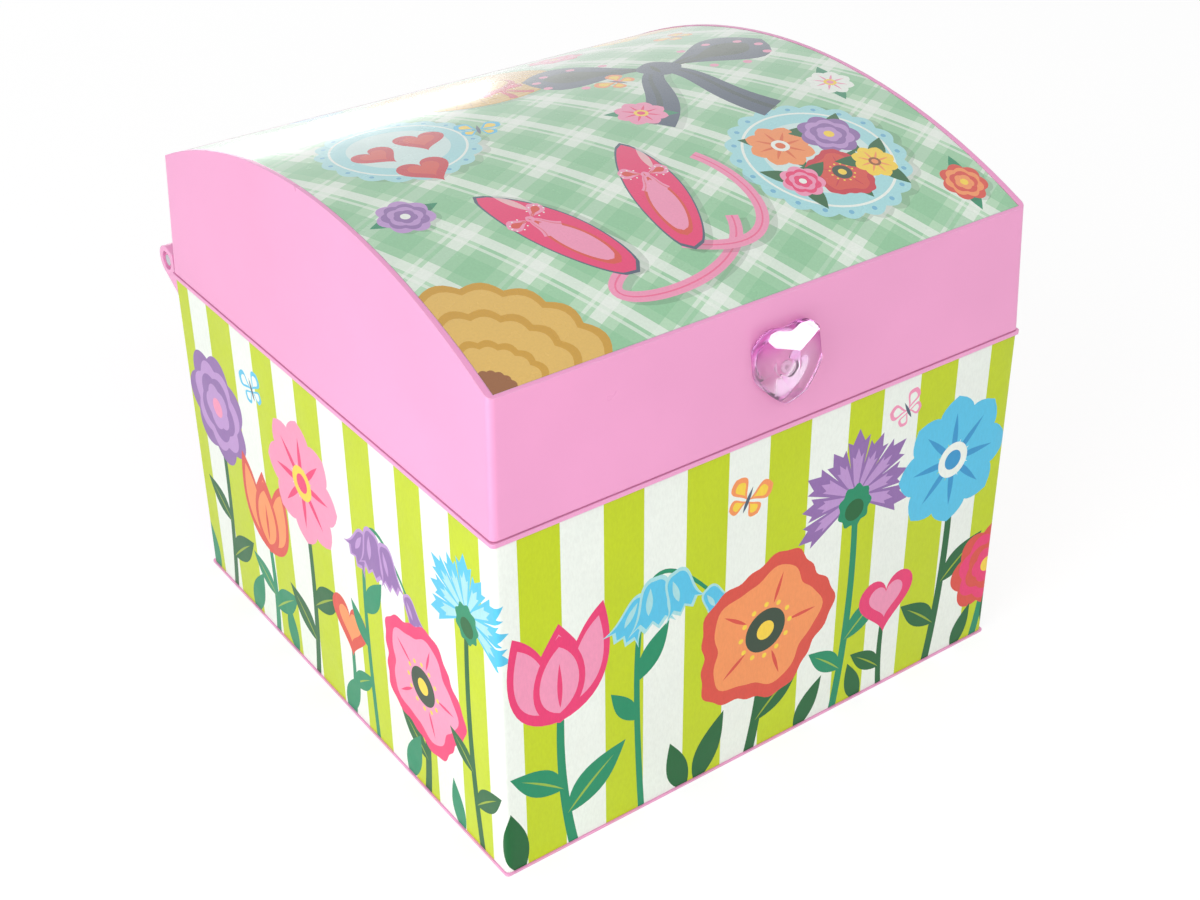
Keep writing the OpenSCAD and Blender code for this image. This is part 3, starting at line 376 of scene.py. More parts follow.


# The second colour of each plastic is the painted highlight on its edges.
cover_plastic = moulded("cover_plastic", srgb(238, 160, 204), srgb(250, 192, 226), 0.48, 0.8, 0.012)
satin_plastic = moulded("satin_plastic", srgb(250, 226, 238), srgb(255, 240, 247), 0.36)
dress(moulded("pink_plastic", srgb(240, 160, 205), srgb(252, 196, 228), 0.30), "body_shell", "lid_shell")
dress(cover_plastic, "bottom_cover")
dress(satin_plastic, "tray", "mirror_panel", "turntable")
print("finishes:", [m.name for m in bpy.data.materials if m.users])

# %% [markdown]
# A printed paper under a clear film is glued round the front and both sides. A print is flat
# areas of ink with sharp borders. One way to make it is an image, but this lesson draws it as a
# planar map: every motif is an outline, a triangulation cuts the sheet along all outlines at
# once, and each triangle takes the inks of the outlines that hold it, laid one over the other.
# The borders are then real edges, as sharp as a printer's, from any distance.

# %% Outlines for a printer
def moved(points, at=(0, 0), size=1.0, turn=0.0):
    """Points turned anticlockwise about the origin, in degrees, then sized, then moved."""
    a = radians(turn)
    spun = np.asarray(points, float) @ np.array([[cos(a), sin(a)], [-sin(a), cos(a)]])
    return spun * size + np.asarray(at, float)


def placed(shapes, at=(0, 0), size=1.0, turn=0.0):
    """Copies of (outline, ink, cover) rows, all moved in the same way."""
    return [(moved(points, at, size, turn), ink, cover) for points, ink, cover in shapes]


def polar(radius, count):
    """Outline whose distance from the origin is radius(angle)."""
    a = np.arange(count) * TURN / count
    return np.stack([radius(a) * np.cos(a), radius(a) * np.sin(a)], axis=1)


def disc(radius, count=40):
    """A circle."""
    return polar(lambda a: radius, count)


def wavy(radius, count, *waves):
    """A circle whose radius swells and shrinks by a share, so many times round, for each wave."""
    return polar(lambda a: radius * (1 + sum(share * np.cos(times * a) for share, times in waves)), count)


def scalloped(radius, count, depth, lobes, shift=0.0):
    """A circle with lobes that meet in sharp notches: its radius follows the size of a sine."""
    return polar(lambda a: radius * (1 - depth + depth * np.abs(np.sin(lobes * a / 2 + shift))), count)


def bezier(*knots, count=16):
    """Points of a Bezier curve: each power of t and 1 - t weighs one knot by its binomial number."""
    t = np.linspace(0, 1, count)[:, None]
    n = len(knots) - 1
    row = [1]
    for k in range(n):
        row.append(row[-1] * (n - k) // (k + 1))
    return sum(row[k] * t ** k * (1 - t) ** (n - k) * np.asarray(knots[k], float)
               for k in range(n + 1))


def strip(path, widths):
    """A band along a path: each point goes half a width to the left and to the right of it."""
    path = np.asarray(path, float)
    along = np.gradient(path, axis=0)
    along /= np.linalg.norm(along, axis=1)[:, None]
    side = np.stack([-along[:, 1], along[:, 0]], axis=1)
    half = np.interp(np.linspace(0, 1, len(path)), np.linspace(0, 1, len(widths)), widths) / 2
    return np.concatenate([path + side * half[:, None], (path - side * half[:, None])[::-1]])


def two_sided(half, up, rib=0.0):
    """An outline up one side and down the other: half its width lies on each side of its rib."""
    right = np.stack([rib + half, up], axis=1)
    left = np.stack([rib - half, up], axis=1)[1:-1]
    return np.concatenate([right, left[::-1]])


def leaf(length, width, bend=0.0):
    """A leaf from the origin up to (0, length): half its width is a half sine wave, and its rib
    bends by a parabola."""
    t = np.linspace(0, 1, 14)
    return two_sided(width / 2 * np.sin(pi * t ** 0.85), length * t, bend * t * t)


def petal(length, width, blunt):
    """A petal from the origin up: narrow foot, widest near its tip, round end."""
    t = np.linspace(0, 1, 16)
    half = width / 2 * np.sin(pi * t ** (1 / blunt)) ** 0.8 * (0.25 + 0.75 * t ** 0.5)
    return two_sided(half, length * t)


def heart_rise(a):
    """How high a heart's outline lies at each angle, from -0.5 at its point to 0.5: four cosines."""
    return (13 * np.cos(a) - 5 * np.cos(2 * a) - 2 * np.cos(3 * a) - np.cos(4 * a) + 2.53) / 28.93


def heart_outline(width, height):
    """A heart: sine cubed across, and four cosines up."""
    a = np.arange(48) * TURN / 48
    return np.stack([width / 2 * np.sin(a) ** 3, height * heart_rise(a)], axis=1)


def shrunk(points, share):
    """An outline drawn in towards its own middle."""
    middle = points.mean(axis=0)
    return middle + (points - middle) * share


INK = {name: np.array(srgb(*rgb)) for name, rgb in {
    "lime": (195, 213, 12), "white": (240, 246, 238), "sky": (86, 196, 233),
    "deep_sky": (47, 150, 205), "magenta": (236, 56, 116), "rose": (243, 152, 186),
    "coral": (221, 78, 64), "orange": (247, 152, 92), "deep_orange": (228, 108, 58),
    "purple": (146, 108, 172), "lilac": (190, 150, 208), "leaf": (8, 98, 46), "teal": (10, 140, 98),
    "yellow": (250, 214, 70), "ochre": (205, 155, 40), "straw": (226, 184, 92), "brown": (150, 92, 44),
    "slate": (76, 92, 112), "pale_blue": (168, 222, 226), "cloth": (182, 220, 186),
    "deep_cloth": (138, 198, 152), "red": (206, 44, 62), "dark": (48, 70, 52),
}.items()}
print("inks:", len(INK))

# %% [markdown]
# The flowers are formulas too. A poppy is a polar curve with five slow waves, a cosmos is a
# petal turned eight times, a rosette is a stack of scalloped discs, and so on. Each function
# gives a list of outlines from the back of the print to the front, about the flower's middle.

# %% Flower heads
def inked(points, name, cover=1.0):
    """One outline with the ink of that name. A cover under 1 lets the ink below show."""
    return (np.asarray(points, float), INK[name], cover)


def doubled(shape, outer, inner, share):
    """An outline, and the same one on top of it, drawn in to a share of its size."""
    return [inked(shape, outer), inked(shrunk(shape, share), inner)]


def poppy(radius, outer, inner, heart_ink):
    """Five slow waves with small ones on top, a lighter bowl inside, and seeds round the middle."""
    rows = [inked(wavy(radius, 110, (0.075, 5), (0.02, 17)), outer),
            inked(wavy(0.80 * radius, 90, (0.10, 5), (0.015, 13)), inner)]
    fold = leaf(0.42 * radius, 0.05 * radius) + (0, 0.36 * radius)
    rows += [inked(moved(fold, turn=54 + 72 * k), outer) for k in range(5)]
    rows.append(inked(disc(0.30 * radius), heart_ink))
    seed = disc(0.035 * radius, 12) + (0.37 * radius, 0)
    rows += [inked(moved(seed, turn=30 * k), "yellow") for k in range(12)]
    return rows + [inked(disc(0.13 * radius, 24), "yellow")]


def cosmos(radius, outer, inner, middle):
    """Eight blunt petals, every second one further back, a rib on each, and a round middle."""
    one, rib = petal(radius, 0.74 * radius, 0.62), leaf(0.74 * radius, 0.10 * radius)
    rows = [inked(moved(one, turn=45 * k), outer) for k in (0, 2, 4, 6, 1, 3, 5, 7)]
    rows += [inked(moved(rib, turn=45 * k), inner) for k in range(8)]
    return rows + [inked(disc(0.27 * radius, 30), middle), inked(disc(0.15 * radius, 24), inner)]


def rosette(radius, first, second, middle):
    """Scalloped discs, each smaller than the last and turned against it."""
    rows = []
    for k, share in enumerate((1.0, 0.80, 0.60, 0.41)):
        edge = scalloped(share * radius, 98, 0.16, 7 if k < 2 else 5, k)
        rows.append(inked(edge, (first, second)[k % 2]))
    return rows + [inked(disc(0.17 * radius, 24), middle)]


def tulip(height, outer, inner):
    """Three petals that open upwards, each drawn twice: once whole, and once smaller inside it."""
    side = np.concatenate([bezier((0, -0.04), (0.52, 0.0), (0.56, 0.52), (0.43, 0.98)),
                           bezier((0.40, 0.96), (0.16, 0.80), (0.06, 0.5), (-0.02, 0.04))])
    front = np.concatenate([bezier((0, -0.05), (0.36, 0.10), (0.30, 0.62), (0, 0.82)),
                            bezier((-0.01, 0.81), (-0.31, 0.60), (-0.36, 0.10), (-0.01, -0.05))])
    rows = doubled(leaf(0.94 * height, 0.52 * height), outer, inner, 0.78)
    for shape, share in ((side, 0.74), (side[::-1] * (-1, 1), 0.74), (front, 0.76)):
        rows += doubled(height * shape, outer, inner, share)
    return rows + [inked(leaf(0.45 * height, 0.05 * height) + (0, 0.10 * height), outer)]


def cornflower(radius, outer, inner):
    """A fan of notched rays over a green cup."""
    ray = radius * np.array([(0.03, 0), (0.19, 0.86), (0.10, 0.80), (0, 1.0), (-0.10, 0.80),
                             (-0.19, 0.86), (-0.03, 0)])
    rows = []
    for k, angle in enumerate(np.linspace(-112, 112, 9)):
        rows += placed([inked(ray, outer), inked(ray * (0.5, 0.72), inner)], size=1.0 - 0.10 * (k % 2),
                       turn=angle)
    cup = wavy(0.27 * radius, 54, (0.08, 9))
    return rows + [inked(cup * (1, 1.15) - (0, 0.14 * radius), "teal"),
                   inked(disc(0.16 * radius, 20) - (0, 0.20 * radius), "leaf")]


def bell(height, outer, inner):
    """A hanging bell: shoulders, a waist and a flared rim with three points."""
    right = bezier((0.10, 0), (0.42, -0.10), (0.16, -0.62), (0.46, -0.96))
    rim = [(0.28, -0.84), (0.14, -1.0), (0, -0.86), (-0.14, -1.0), (-0.28, -0.84)]
    shape = height * np.concatenate([right, rim, right[::-1] * (-1, 1)])[::-1]
    shine = leaf(0.5 * height, 0.13 * height) - (0.09 * height, 0.68 * height)
    return doubled(shape, inner, outer, 0.84) + [inked(shine, inner)]


def heart_flower(size, outer, inner):
    """A heart with a smaller heart in it."""
    return [inked(heart_outline(size, 0.95 * size), outer),
            inked(heart_outline(0.62 * size, 0.56 * size) + (0, 0.06 * size), inner)]


def butterfly(size, outer, inner):
    """Four petals for wings and a thin leaf for the body."""
    rows = []
    for turn, length, width in ((52, 1.0, 0.78), (122, 0.72, 0.62), (-52, 1.0, 0.78), (-122, 0.72, 0.62)):
        rows += placed(doubled(petal(length * size, width * size, 0.6), outer, inner, 0.6), turn=turn)
    return rows + [inked(leaf(0.9 * size, 0.14 * size) - (0, 0.42 * size), "slate")]


print("a poppy has", len(poppy(10, "coral", "orange", "dark")), "outlines")

# %% [markdown]
# Each plant is a stem, its leaves and a head. The stems start at the sheet's lower edge, as if
# the box stood in a flower bed, and the heads stand at uneven heights. The three sides carry
# different rows, so that the pattern never repeats where two sides meet.

# %% The flower bed
def plant(foot, head, at, ink="leaf", thick=1.9, leaves=()):
    """A stem from just under the sheet's edge up to at, its leaves as (height, side, length) rows,
    then its head."""
    foot, at = np.array([foot, -1.0]), np.asarray(at, float)
    sway = 0.06 * (at[1] - foot[1]) * (1 if foot[0] < at[0] else -1)
    path = bezier(foot, (foot + at) / 2 + (sway, 0), at)
    rows = [inked(strip(path, (thick, 0.75 * thick)), ink)]
    for up, side, length in leaves:
        pair = [inked(leaf(length, 0.42 * length, 0.10 * length * side), ink),
                inked(leaf(0.8 * length, 0.035 * length, 0.08 * length * side), "lime", 0.55)]
        rows += placed(pair, path[int(up * (len(path) - 1))], turn=-side * (38 + 22 * up))
    return rows + placed(head, at)


def bell_spray(foot, top, reach, size, outer, inner):
    """A stem that arches over, with bells of falling size along the arch."""
    foot, top = np.array([foot, -1.0]), np.asarray(top, float)
    path = bezier(foot, (foot[0] - 4, top[1] + 2), top + (-4, 12), top + (reach, -9.0), count=26)
    rows = [inked(strip(path, (1.8, 0.9)), "teal")]
    for up, side, length in ((0.18, -1, 13), (0.26, 1, 16)):
        rows += placed([inked(leaf(length, 0.36 * length), "teal")], path[int(up * 25)], turn=-side * 34)
    for up, share, turn in ((0.52, 0.9, -34), (0.66, 1.0, -4), (0.83, 0.9, 16), (1.0, 0.66, 30)):
        rows += placed(bell(size * share, outer, inner), path[int(up * 25)], turn=turn)
    return rows


def small_leaves(spots, ink="leaf"):
    """Short leaves at the foot of the sheet."""
    rows = []
    for x, tilt, length in spots:
        rows += placed([inked(leaf(length, 0.36 * length, 0.1 * length), ink)], (x, -1.5), turn=tilt)
    return rows


front_row = [
    plant(-56, tulip(27, "magenta", "rose"), (-59, 38), "teal", 2.6, ((0.3, 1, 21), (0.5, -1, 17))),
    bell_spray(-37, (-33, 64), 14, 14.5, "sky", "pale_blue"),
    plant(-5, poppy(20, "coral", "orange", "dark"), (-1, 35), "leaf", 3.2, ((0.3, 1, 18),)),
    plant(22, cornflower(18.5, "purple", "lilac"), (25, 62), "teal", 2.4,
          ((0.22, -1, 14), (0.36, 1, 16))),
    plant(38, heart_flower(18, "magenta", "rose"), (38, 25), leaves=((0.3, -1, 13),)),
    plant(54, cosmos(18, "sky", "deep_sky", "white"), (57, 60), "leaf", 2.6,
          ((0.25, -1, 16), (0.42, 1, 17))),
    plant(71, rosette(13, "coral", "magenta", "yellow"), (74, 22), "teal", 2.6),
    small_leaves(((-70, 14, 19), (-24, 22, 17), (-21, -18, 20), (10, -24, 16), (31, 24, 14),
                  (64, -16, 14))),
    placed(butterfly(7.5, "orange", "yellow"), (-8, 74), turn=-24),
    placed(butterfly(6, "rose", "white"), (40, 80), turn=28),
]
left_row = [
    plant(-60, rosette(16, "purple", "lilac", "rose"), (-57, 58), "leaf", 2.4,
          ((0.25, 1, 18), (0.45, -1, 15))),
    plant(-35, tulip(25, "coral", "orange"), (-34, 27), "teal", 2.6, ((0.35, 1, 17), (0.5, -1, 14))),
    plant(-13, cosmos(17.5, "rose", "magenta", "yellow"), (-11, 59), "leaf", 2.4,
          ((0.22, -1, 17), (0.42, 1, 18))),
    plant(6, heart_flower(17, "coral", "orange"), (8, 27), "teal", leaves=((0.4, 1, 13),)),
    bell_spray(18, (24, 64), 13, 14, "purple", "lilac"),
    plant(41, poppy(17, "magenta", "rose", "dark"), (42, 32), "leaf", 2.8, ((0.35, -1, 15),)),
    plant(65, cornflower(16, "sky", "pale_blue"), (63, 65), "leaf", 2.2,
          ((0.2, 1, 14), (0.34, -1, 12))),
    small_leaves(((-70, 18, 17), (-48, -18, 18), (-24, 16, 16), (3, -20, 17), (33, -14, 18),
                  (57, 20, 15)), "teal"),
    placed(butterfly(7, "sky", "white"), (-34, 74), turn=20),
]
right_row = [
    plant(-58, cosmos(17, "orange", "deep_orange", "white"), (-57, 57), "leaf", 2.4,
          ((0.25, -1, 18), (0.45, 1, 16))),
    plant(-35, poppy(17.5, "purple", "lilac", "dark"), (-31, 31), "teal", 2.8, ((0.4, 1, 15),)),
    bell_spray(-14, (-8, 63), 14, 15, "coral", "orange"),
    plant(16, tulip(26, "magenta", "rose"), (15, 32), "leaf", 2.6, ((0.3, 1, 18), (0.5, -1, 15))),
    plant(36, cornflower(17.5, "sky", "pale_blue"), (37, 63), "teal", 2.4,
          ((0.25, -1, 16), (0.42, 1, 17))),
    plant(54, heart_flower(17, "magenta", "rose"), (55, 29), leaves=((0.4, 1, 14),)),
    plant(68, rosette(13.5, "coral", "magenta", "yellow"), (68, 60), "leaf", 2.2, ((0.3, -1, 14),)),
    small_leaves(((-70, 16, 18), (-47, -20, 17), (-22, 18, 18), (3, -16, 18), (26, 20, 16),
                  (61, -18, 17))),
    placed(butterfly(7.5, "lilac", "white"), (14, 76), turn=-18),
]
print("front row:", sum(map(len, front_row)), "outlines")

# %% [markdown]
# Now the printing itself. delaunay_2d_cdt takes all outlines at once and gives back triangles
# together with the outlines that hold each one. The inks are laid in order on a white sheet. A
# sheet is bent round the box only afterwards, by a formula from its flat length and height to a
# place in space, so lines are cut where it bends. Its back and its edges close it.

# %% Printing a sheet
PAPER_T = 0.3                   # thickness of a printed sheet with its film
SAME_PLACE = 1e-4               # points nearer than this to an edge lie on it


def planar_map(low, high, shapes, bends_across=(), bends_up=(), fixed=()):
    """Cuts the sheet from corner low to corner high along every outline. Gives the points, the
    triangles, and each triangle's ink: the inks laid over white in order."""
    (u0, v0), (u1, v1) = low, high
    points = [(u0, v0), (u1, v0), (u1, v1), (u0, v1)] + [tuple(p) for p in fixed]
    faces, edges = [[0, 1, 2, 3]], []
    for u in bends_across:
        edges.append((len(points), len(points) + 1))
        points += [(u, v0), (u, v1)]
    for v in bends_up:
        edges.append((len(points), len(points) + 1))
        points += [(u0, v), (u1, v)]
    for outline, _, _ in shapes:
        after = np.roll(outline, -1, axis=0)
        area = np.sum(outline[:, 0] * after[:, 1] - outline[:, 1] * after[:, 0])
        ordered = outline if area > 0 else outline[::-1]
        faces.append(list(range(len(points), len(points) + len(ordered))))
        points += [tuple(p) for p in ordered]
    cut = delaunay_2d_cdt([Vector(p) for p in points], edges, faces, 0, 1e-5, True)
    spots = np.array([tuple(p) for p in cut[0]])
    triangles, holders = np.array(cut[2]), cut[5]
    inside = np.array([0 in held for held in holders])
    of_triangle = np.repeat(np.arange(len(triangles)), [len(held) for held in holders])
    of_shape = np.array([k for held in holders for k in held])
    ink = np.ones((len(triangles), 3)) * INK["white"]
    for k, (_, colour, cover) in enumerate(shapes, start=1):
        mine = of_triangle[of_shape == k]
        ink[mine] = ink[mine] * (1 - cover) + np.asarray(colour) * cover
    triangles, ink = triangles[inside], ink[inside]
    kept, triangles = np.unique(triangles, return_inverse=True)
    return spots[kept], triangles.reshape(-1, 3), ink


def nearest(points, wanted):
    """For each wanted place the number of the nearest point, and the widest miss of them all."""
    gaps = abs(points[None] - wanted[:, None]).max(axis=2)
    return gaps.argmin(axis=1), gaps.min(axis=1).max()


def printed_sheet(name, low, high, shapes, place, bends_across=(), bends_up=()):
    """A closed printed sheet. place(u, v, depth) gives the points in space of flat places u and v
    at a depth behind the print. The back is cut along the bends alone, and shares the places of
    the front's border, so that short walls join the two."""
    spots, front, ink = planar_map(low, high, shapes, bends_across, bends_up)
    (u0, v0), (u1, v1) = low, high
    to_edge = np.minimum(abs(spots - low), abs(spots - high)).min(axis=1)
    border = spots[to_edge < SAME_PLACE]
    back_spots, back, _ = planar_map(low, high, [], bends_across, bends_up, border)
    first = len(spots)
    sides = np.concatenate([front[:, [0, 1]], front[:, [1, 2]], front[:, [2, 0]]])
    key = np.sort(sides, axis=1)
    _, where, count = np.unique(key, axis=0, return_index=True, return_counts=True)
    rim = sides[where[count == 1]]
    match_a, miss_a = nearest(back_spots, spots[rim[:, 0]])
    match_b, miss_b = nearest(back_spots, spots[rim[:, 1]])
    walls = np.stack([rim[:, 1], rim[:, 0], first + match_a, first + match_b], axis=1)
    points = np.concatenate([place(spots[:, 0], spots[:, 1], 0.0),
                             place(back_spots[:, 0], back_spots[:, 1], PAPER_T)])
    triangles = np.concatenate([front, first + back[:, ::-1]])
    sheet = put_mesh(name, points, quads=walls, triangles=triangles)
    mesh = sheet.data
    wall_corners = len(walls) * 4
    paint = np.ones((wall_corners + len(triangles) * 3, 4), np.float32)
    paint[wall_corners:wall_corners + len(front) * 3, :3] = np.repeat(ink, 3, axis=0)
    mesh.attributes.new("ink", "FLOAT_COLOR", "CORNER").data.foreach_set("color", paint.ravel())
    apart = v1 - v0 + 6         # the back lies 6 mm above the print in the unrolled layout
    flat = np.concatenate([spots, back_spots + (0, apart)])
    span = max(u1 - u0, apart + v1 - v0)
    corner_points = np.empty(len(paint), np.int32)
    mesh.loops.foreach_get("vertex_index", corner_points)
    unrolled = (flat[corner_points] - (u0, v0)) / span * 0.98 + 0.01
    unrolled[:wall_corners] = 0.995
    mesh.uv_layers.new(name="OFBake").data.foreach_set("uv", unrolled.astype(np.float32).ravel())
    mesh.set_sharp_from_angle(angle=radians(45))
    print(name, len(front), "printed triangles,", len(back), "behind, border match",
          round(max(miss_a, miss_b), 6))
    return sheet


def greyed(tree, colour, share):
    """A colour made darker: multiplied by a grey."""
    grey = add_node(tree, "CombineColor", s0=share, s1=share, s2=share).outputs[0]
    made = add_node(tree, "Mix", {"data_type": "RGBA", "blend_type": "MULTIPLY"}, s0=1.0, s6=colour,
                    s7=grey)
    return made.outputs[2]


def film_print(name, roughness, fibre_mm, fibre_depth, weave, coat, shine):
    """Ink on paper under film: the ink attribute, a faint fibre in colour and relief, a clear coat."""
    stuff, tree, shader, place = new_finish(name)
    ink = add_node(tree, "Attribute", {"attribute_name": "ink"}).outputs["Color"]
    fibre = noise(tree, place, fibre_mm, 3, weave)
    body = greyed(tree, ink, between(tree, fibre, 0.93, 1.0, 0.3, 0.7))
    body = greyed(tree, body, uneven(tree, place, 24, 2, 0.965, 1.0, 0.35, 0.65))
    feed(tree, shader, Base_Color=body, Normal=relief(tree, fibre, fibre_depth),
         Roughness=uneven(tree, place, 6, 3, roughness - 0.04, roughness + 0.05),
         Specular_IOR_Level=shine, Coat_Weight=coat, Coat_Roughness=0.12)
    return stuff


print("paper and film are", PAPER_T, "mm thick")

# %% [markdown]
# The wrap's flat length runs from the back end of the left side, round the front-left corner,
# across the front, round the other corner and along the right side. Lime stripes of about
# 11 mm stand on white, a little uneven as on the real one, and a white stripe goes round the
# front-left corner.

# %% The printed wrap
SIDE = 146.8                    # straight part of one side
WRAP_R = 1.15                   # outer radius of the wrap's bends
WRAP_LOW, WRAP_HIGH = 0.5, 88.9
BED_MIDDLE = 73                 # from the start of a side to the middle of its flowers
BEND = WRAP_R * pi / 2
FRONT_AT = SIDE + BEND
RIGHT_AT = 2 * (SIDE + BEND)
WRAP_END = RIGHT_AT + SIDE


def round_the_case(s, z, depth):
    """Straight, quarter turn, straight, quarter turn, straight: each stretch is one formula, and
    the flat length s picks among them."""
    r, half = WRAP_R - depth, SIDE / 2
    out = half + r
    a, b = (s - SIDE) / WRAP_R, (s - FRONT_AT - SIDE) / WRAP_R
    parts = [s <= SIDE, s <= FRONT_AT, s <= FRONT_AT + SIDE, s <= RIGHT_AT]
    x = np.select(parts, [-out + 0 * s, -half - r * np.cos(a), s - FRONT_AT - half,
                          half + r * np.sin(b)], out)
    y = np.select(parts, [half - s, -half - r * np.sin(a), -out + 0 * s,
                          -half - r * np.cos(b)], s - RIGHT_AT - half)
    return np.stack([x, y, z + 0 * s], axis=1)


def stripe(u0, u1):
    """A lime stripe over the sheet's whole height."""
    low, high = WRAP_LOW - 1, WRAP_HIGH + 1
    return inked([(u0, low), (u1, low), (u1, high), (u0, high)], "lime")


left_lime = ((-74, -67), (-56.5, -43.5), (-32.5, -21.5), (-10.5, 1), (13, 24.5), (35.5, 46), (57.5, 69))
front_lime = ((-69, -58.5), (-47.5, -37), (-25.5, -14), (-2.5, 9.5), (21, 31.5), (43, 55), (66, 74.4))
right_lime = ((-60.5, -49.5), (-38, -26.5), (-15.5, -4), (7.5, 18.5), (30, 41.5), (53, 64.5))
sides = ((0, left_lime, left_row), (FRONT_AT, front_lime, front_row), (RIGHT_AT, right_lime, right_row))
print_rows = [stripe(at + SIDE / 2 + a, at + SIDE / 2 + b) for at, spans, _ in sides for a, b in spans]
for at, _, row in sides:
    for shapes in row:
        print_rows += placed(shapes, (at + BED_MIDDLE, 0))
bend_lines = [at + BEND * k / 4 for at in (SIDE, FRONT_AT + SIDE) for k in range(5)]
wrap = printed_sheet("printed_wrap", (0, WRAP_LOW), (WRAP_END, WRAP_HIGH), print_rows, round_the_case,
                     bends_across=bend_lines)
wrap.data.materials.append(film_print("wrap_print", 0.38, 0.45, 0.012, (1, 1, 0.35), 0.06, 0.3))
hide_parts("body_wrap")
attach(wrap, "case")

# %% [markdown]
# The lid's sheet lies in a shallow recess on the dome. Its design is a mint gingham cloth seen at
# an angle, with things a young dancer might lay on it: a straw hat with a ribbon, satin
# slippers, a big bow, and two scalloped mats with blossoms and hearts. The gingham needs no
# blending of colours by hand: two sets of bands whose ink covers only a part of what lies below
# give the darker squares where they cross.

# %% Motifs for the lid
def gingham(reach, pitch, angles, bands):
    """Straight bands across the whole sheet: for each angle, and for each band as offset, width,
    ink and cover, one strip every pitch."""
    rows = []
    for angle in angles:
        for k in range(-int(reach / pitch) - 1, int(reach / pitch) + 2):
            for offset, width, ink, cover in bands:
                low = k * pitch + offset
                band = [(-1.5 * reach, low), (1.5 * reach, low), (1.5 * reach, low + width),
                        (-1.5 * reach, low + width)]
                rows += placed([inked(band, ink, cover)], (0, 0), turn=angle)
    return rows


def shaded(shapes, by=(1.3, -1.5), cover=0.24):
    """The shapes with a soft shadow: their first outline again, moved, in thin dark green."""
    return [(shapes[0][0] + by, INK["dark"], cover)] + shapes


def scalloped_mat(radius, lobes):
    """A round mat with a scalloped edge, an eyelet in each scallop, and two rings."""
    rows = [inked(scalloped(radius, 8 * lobes, 0.07, lobes, pi / 2), "pale_blue")]
    for k in range(lobes):
        spot = moved((0.90 * radius, 0), turn=360 * k / lobes)
        rows.append(inked(disc(0.030 * radius, 10) + spot, "deep_sky", 0.6))
    return rows + [inked(disc(0.83 * radius, 64), "white"), inked(disc(0.80 * radius, 64), "pale_blue"),
                   inked(disc(0.62 * radius, 56), "white", 0.55)]


def bow(size, ink, dark, dots="white"):
    """Two tails and two loops, each drawn in its ink with a darker inside, dots, and a knot."""
    rows = []
    for side in (-1, 1):
        tail = size * bezier((0, 0), (side * 0.25, -0.25), (side * 0.10, -0.55), (side * 0.42, -0.92))
        rows += [inked(strip(tail, (0.12 * size, 0.26 * size)), ink),
                 inked(strip(tail + (0.02 * size * side, 0), (0.02 * size, 0.05 * size)), dark, 0.6)]
    for side in (-1, 1):
        loop = moved(petal(0.95, 0.72, 0.55), turn=-side * 74)
        hollow = moved(petal(0.60, 0.34, 0.55), (side * 0.20, 0.05), turn=-side * 74)
        rows += [inked(size * loop, ink), inked(size * hollow, dark)]
        for dx, dy in ((0.30, 0.30), (0.52, 0.36), (0.74, 0.30), (0.36, -0.13), (0.60, -0.16),
                       (0.82, -0.02), (0.84, 0.16)):
            rows.append(inked(size * (disc(0.033, 12) + (side * dx, dy)), dots))
        for k in (-14, 8):
            fold = moved(leaf(0.34, 0.035), (side * 0.07, 0), turn=-side * (74 + k))
            rows.append(inked(size * fold, dark))
    knot, pleat = wavy(0.155, 40, (0.06, 4)), leaf(0.2, 0.04) - (0.03, 0.1)
    return rows + [inked(size * knot, ink), inked(size * pleat, dark)]


def slipper(length, ink, dark, sole):
    """A ballet slipper from above: a sole, a rounded shoe, an opening, a toe box and a small bow."""
    t = np.linspace(0, 1, 26)
    half = 0.17 * length * np.sin(pi * t ** 0.8) ** 0.55 * (0.86 + 0.22 * np.sin(pi * t) * t)
    outline = two_sided(half, length * t)
    opening = shrunk(outline, 0.70) * (0.86, 0.80) + (0, -0.03 * length)
    shine = leaf(0.26 * length, 0.05 * length) + (0.07 * length, 0.70 * length)
    rows = [inked(shrunk(outline, 1.05), sole), inked(outline, ink), inked(opening, dark),
            inked(shrunk(opening, 0.84), "rose"), inked(shine, "white", 0.5)]
    return rows + placed(bow(0.17 * length, "rose", dark), (0, 0.66 * length))


def ribbon(points, width, ink, dark):
    """A satin ribbon along a Bezier curve with a thin dark line down its middle."""
    path = bezier(*points, count=34)
    return [inked(strip(path, (width, width)), ink),
            inked(strip(path, (0.14 * width, 0.14 * width)), dark, 0.55)]


def straw_hat(radius):
    """A hat from above: a brim and a crown, woven rings and rays, a red ribbon and its bow."""
    tilt = np.array([1, 0.86])
    brim, crown = wavy(radius, 96, (0.008, 3)) * tilt, disc(0.55 * radius, 60) * tilt
    rows = [inked(brim, "ochre"), inked(brim * 0.965, "straw")]
    for share in (0.90, 0.82, 0.74, 0.66):
        ring = disc(share * radius, 72) * tilt
        rows += [inked(ring, "ochre", 0.75), inked(ring * 0.975, "straw")]
    for k in range(36):
        spot = moved((0, 0.57 * radius), turn=10 * k) * tilt
        rows += placed([inked(leaf(0.40 * radius, 0.022 * radius), "brown", 0.38)], spot, turn=10 * k)
    rows += [inked(crown * 1.02 - (0, 0.04 * radius), "red"),
             inked(crown * (0.95, 0.92) + (0, 0.05 * radius), "ochre"),
             inked(crown * (0.91, 0.88) + (0, 0.06 * radius), "straw")]
    for share in (0.70, 0.50, 0.30):
        rows += [inked(crown * share + (0, 0.08 * radius), "ochre", 0.6),
                 inked(crown * (share - 0.035) + (0, 0.08 * radius), "straw")]
    return rows + placed(bow(0.34 * radius, "red", "magenta"), (0.30 * radius, -0.44 * radius), turn=24)


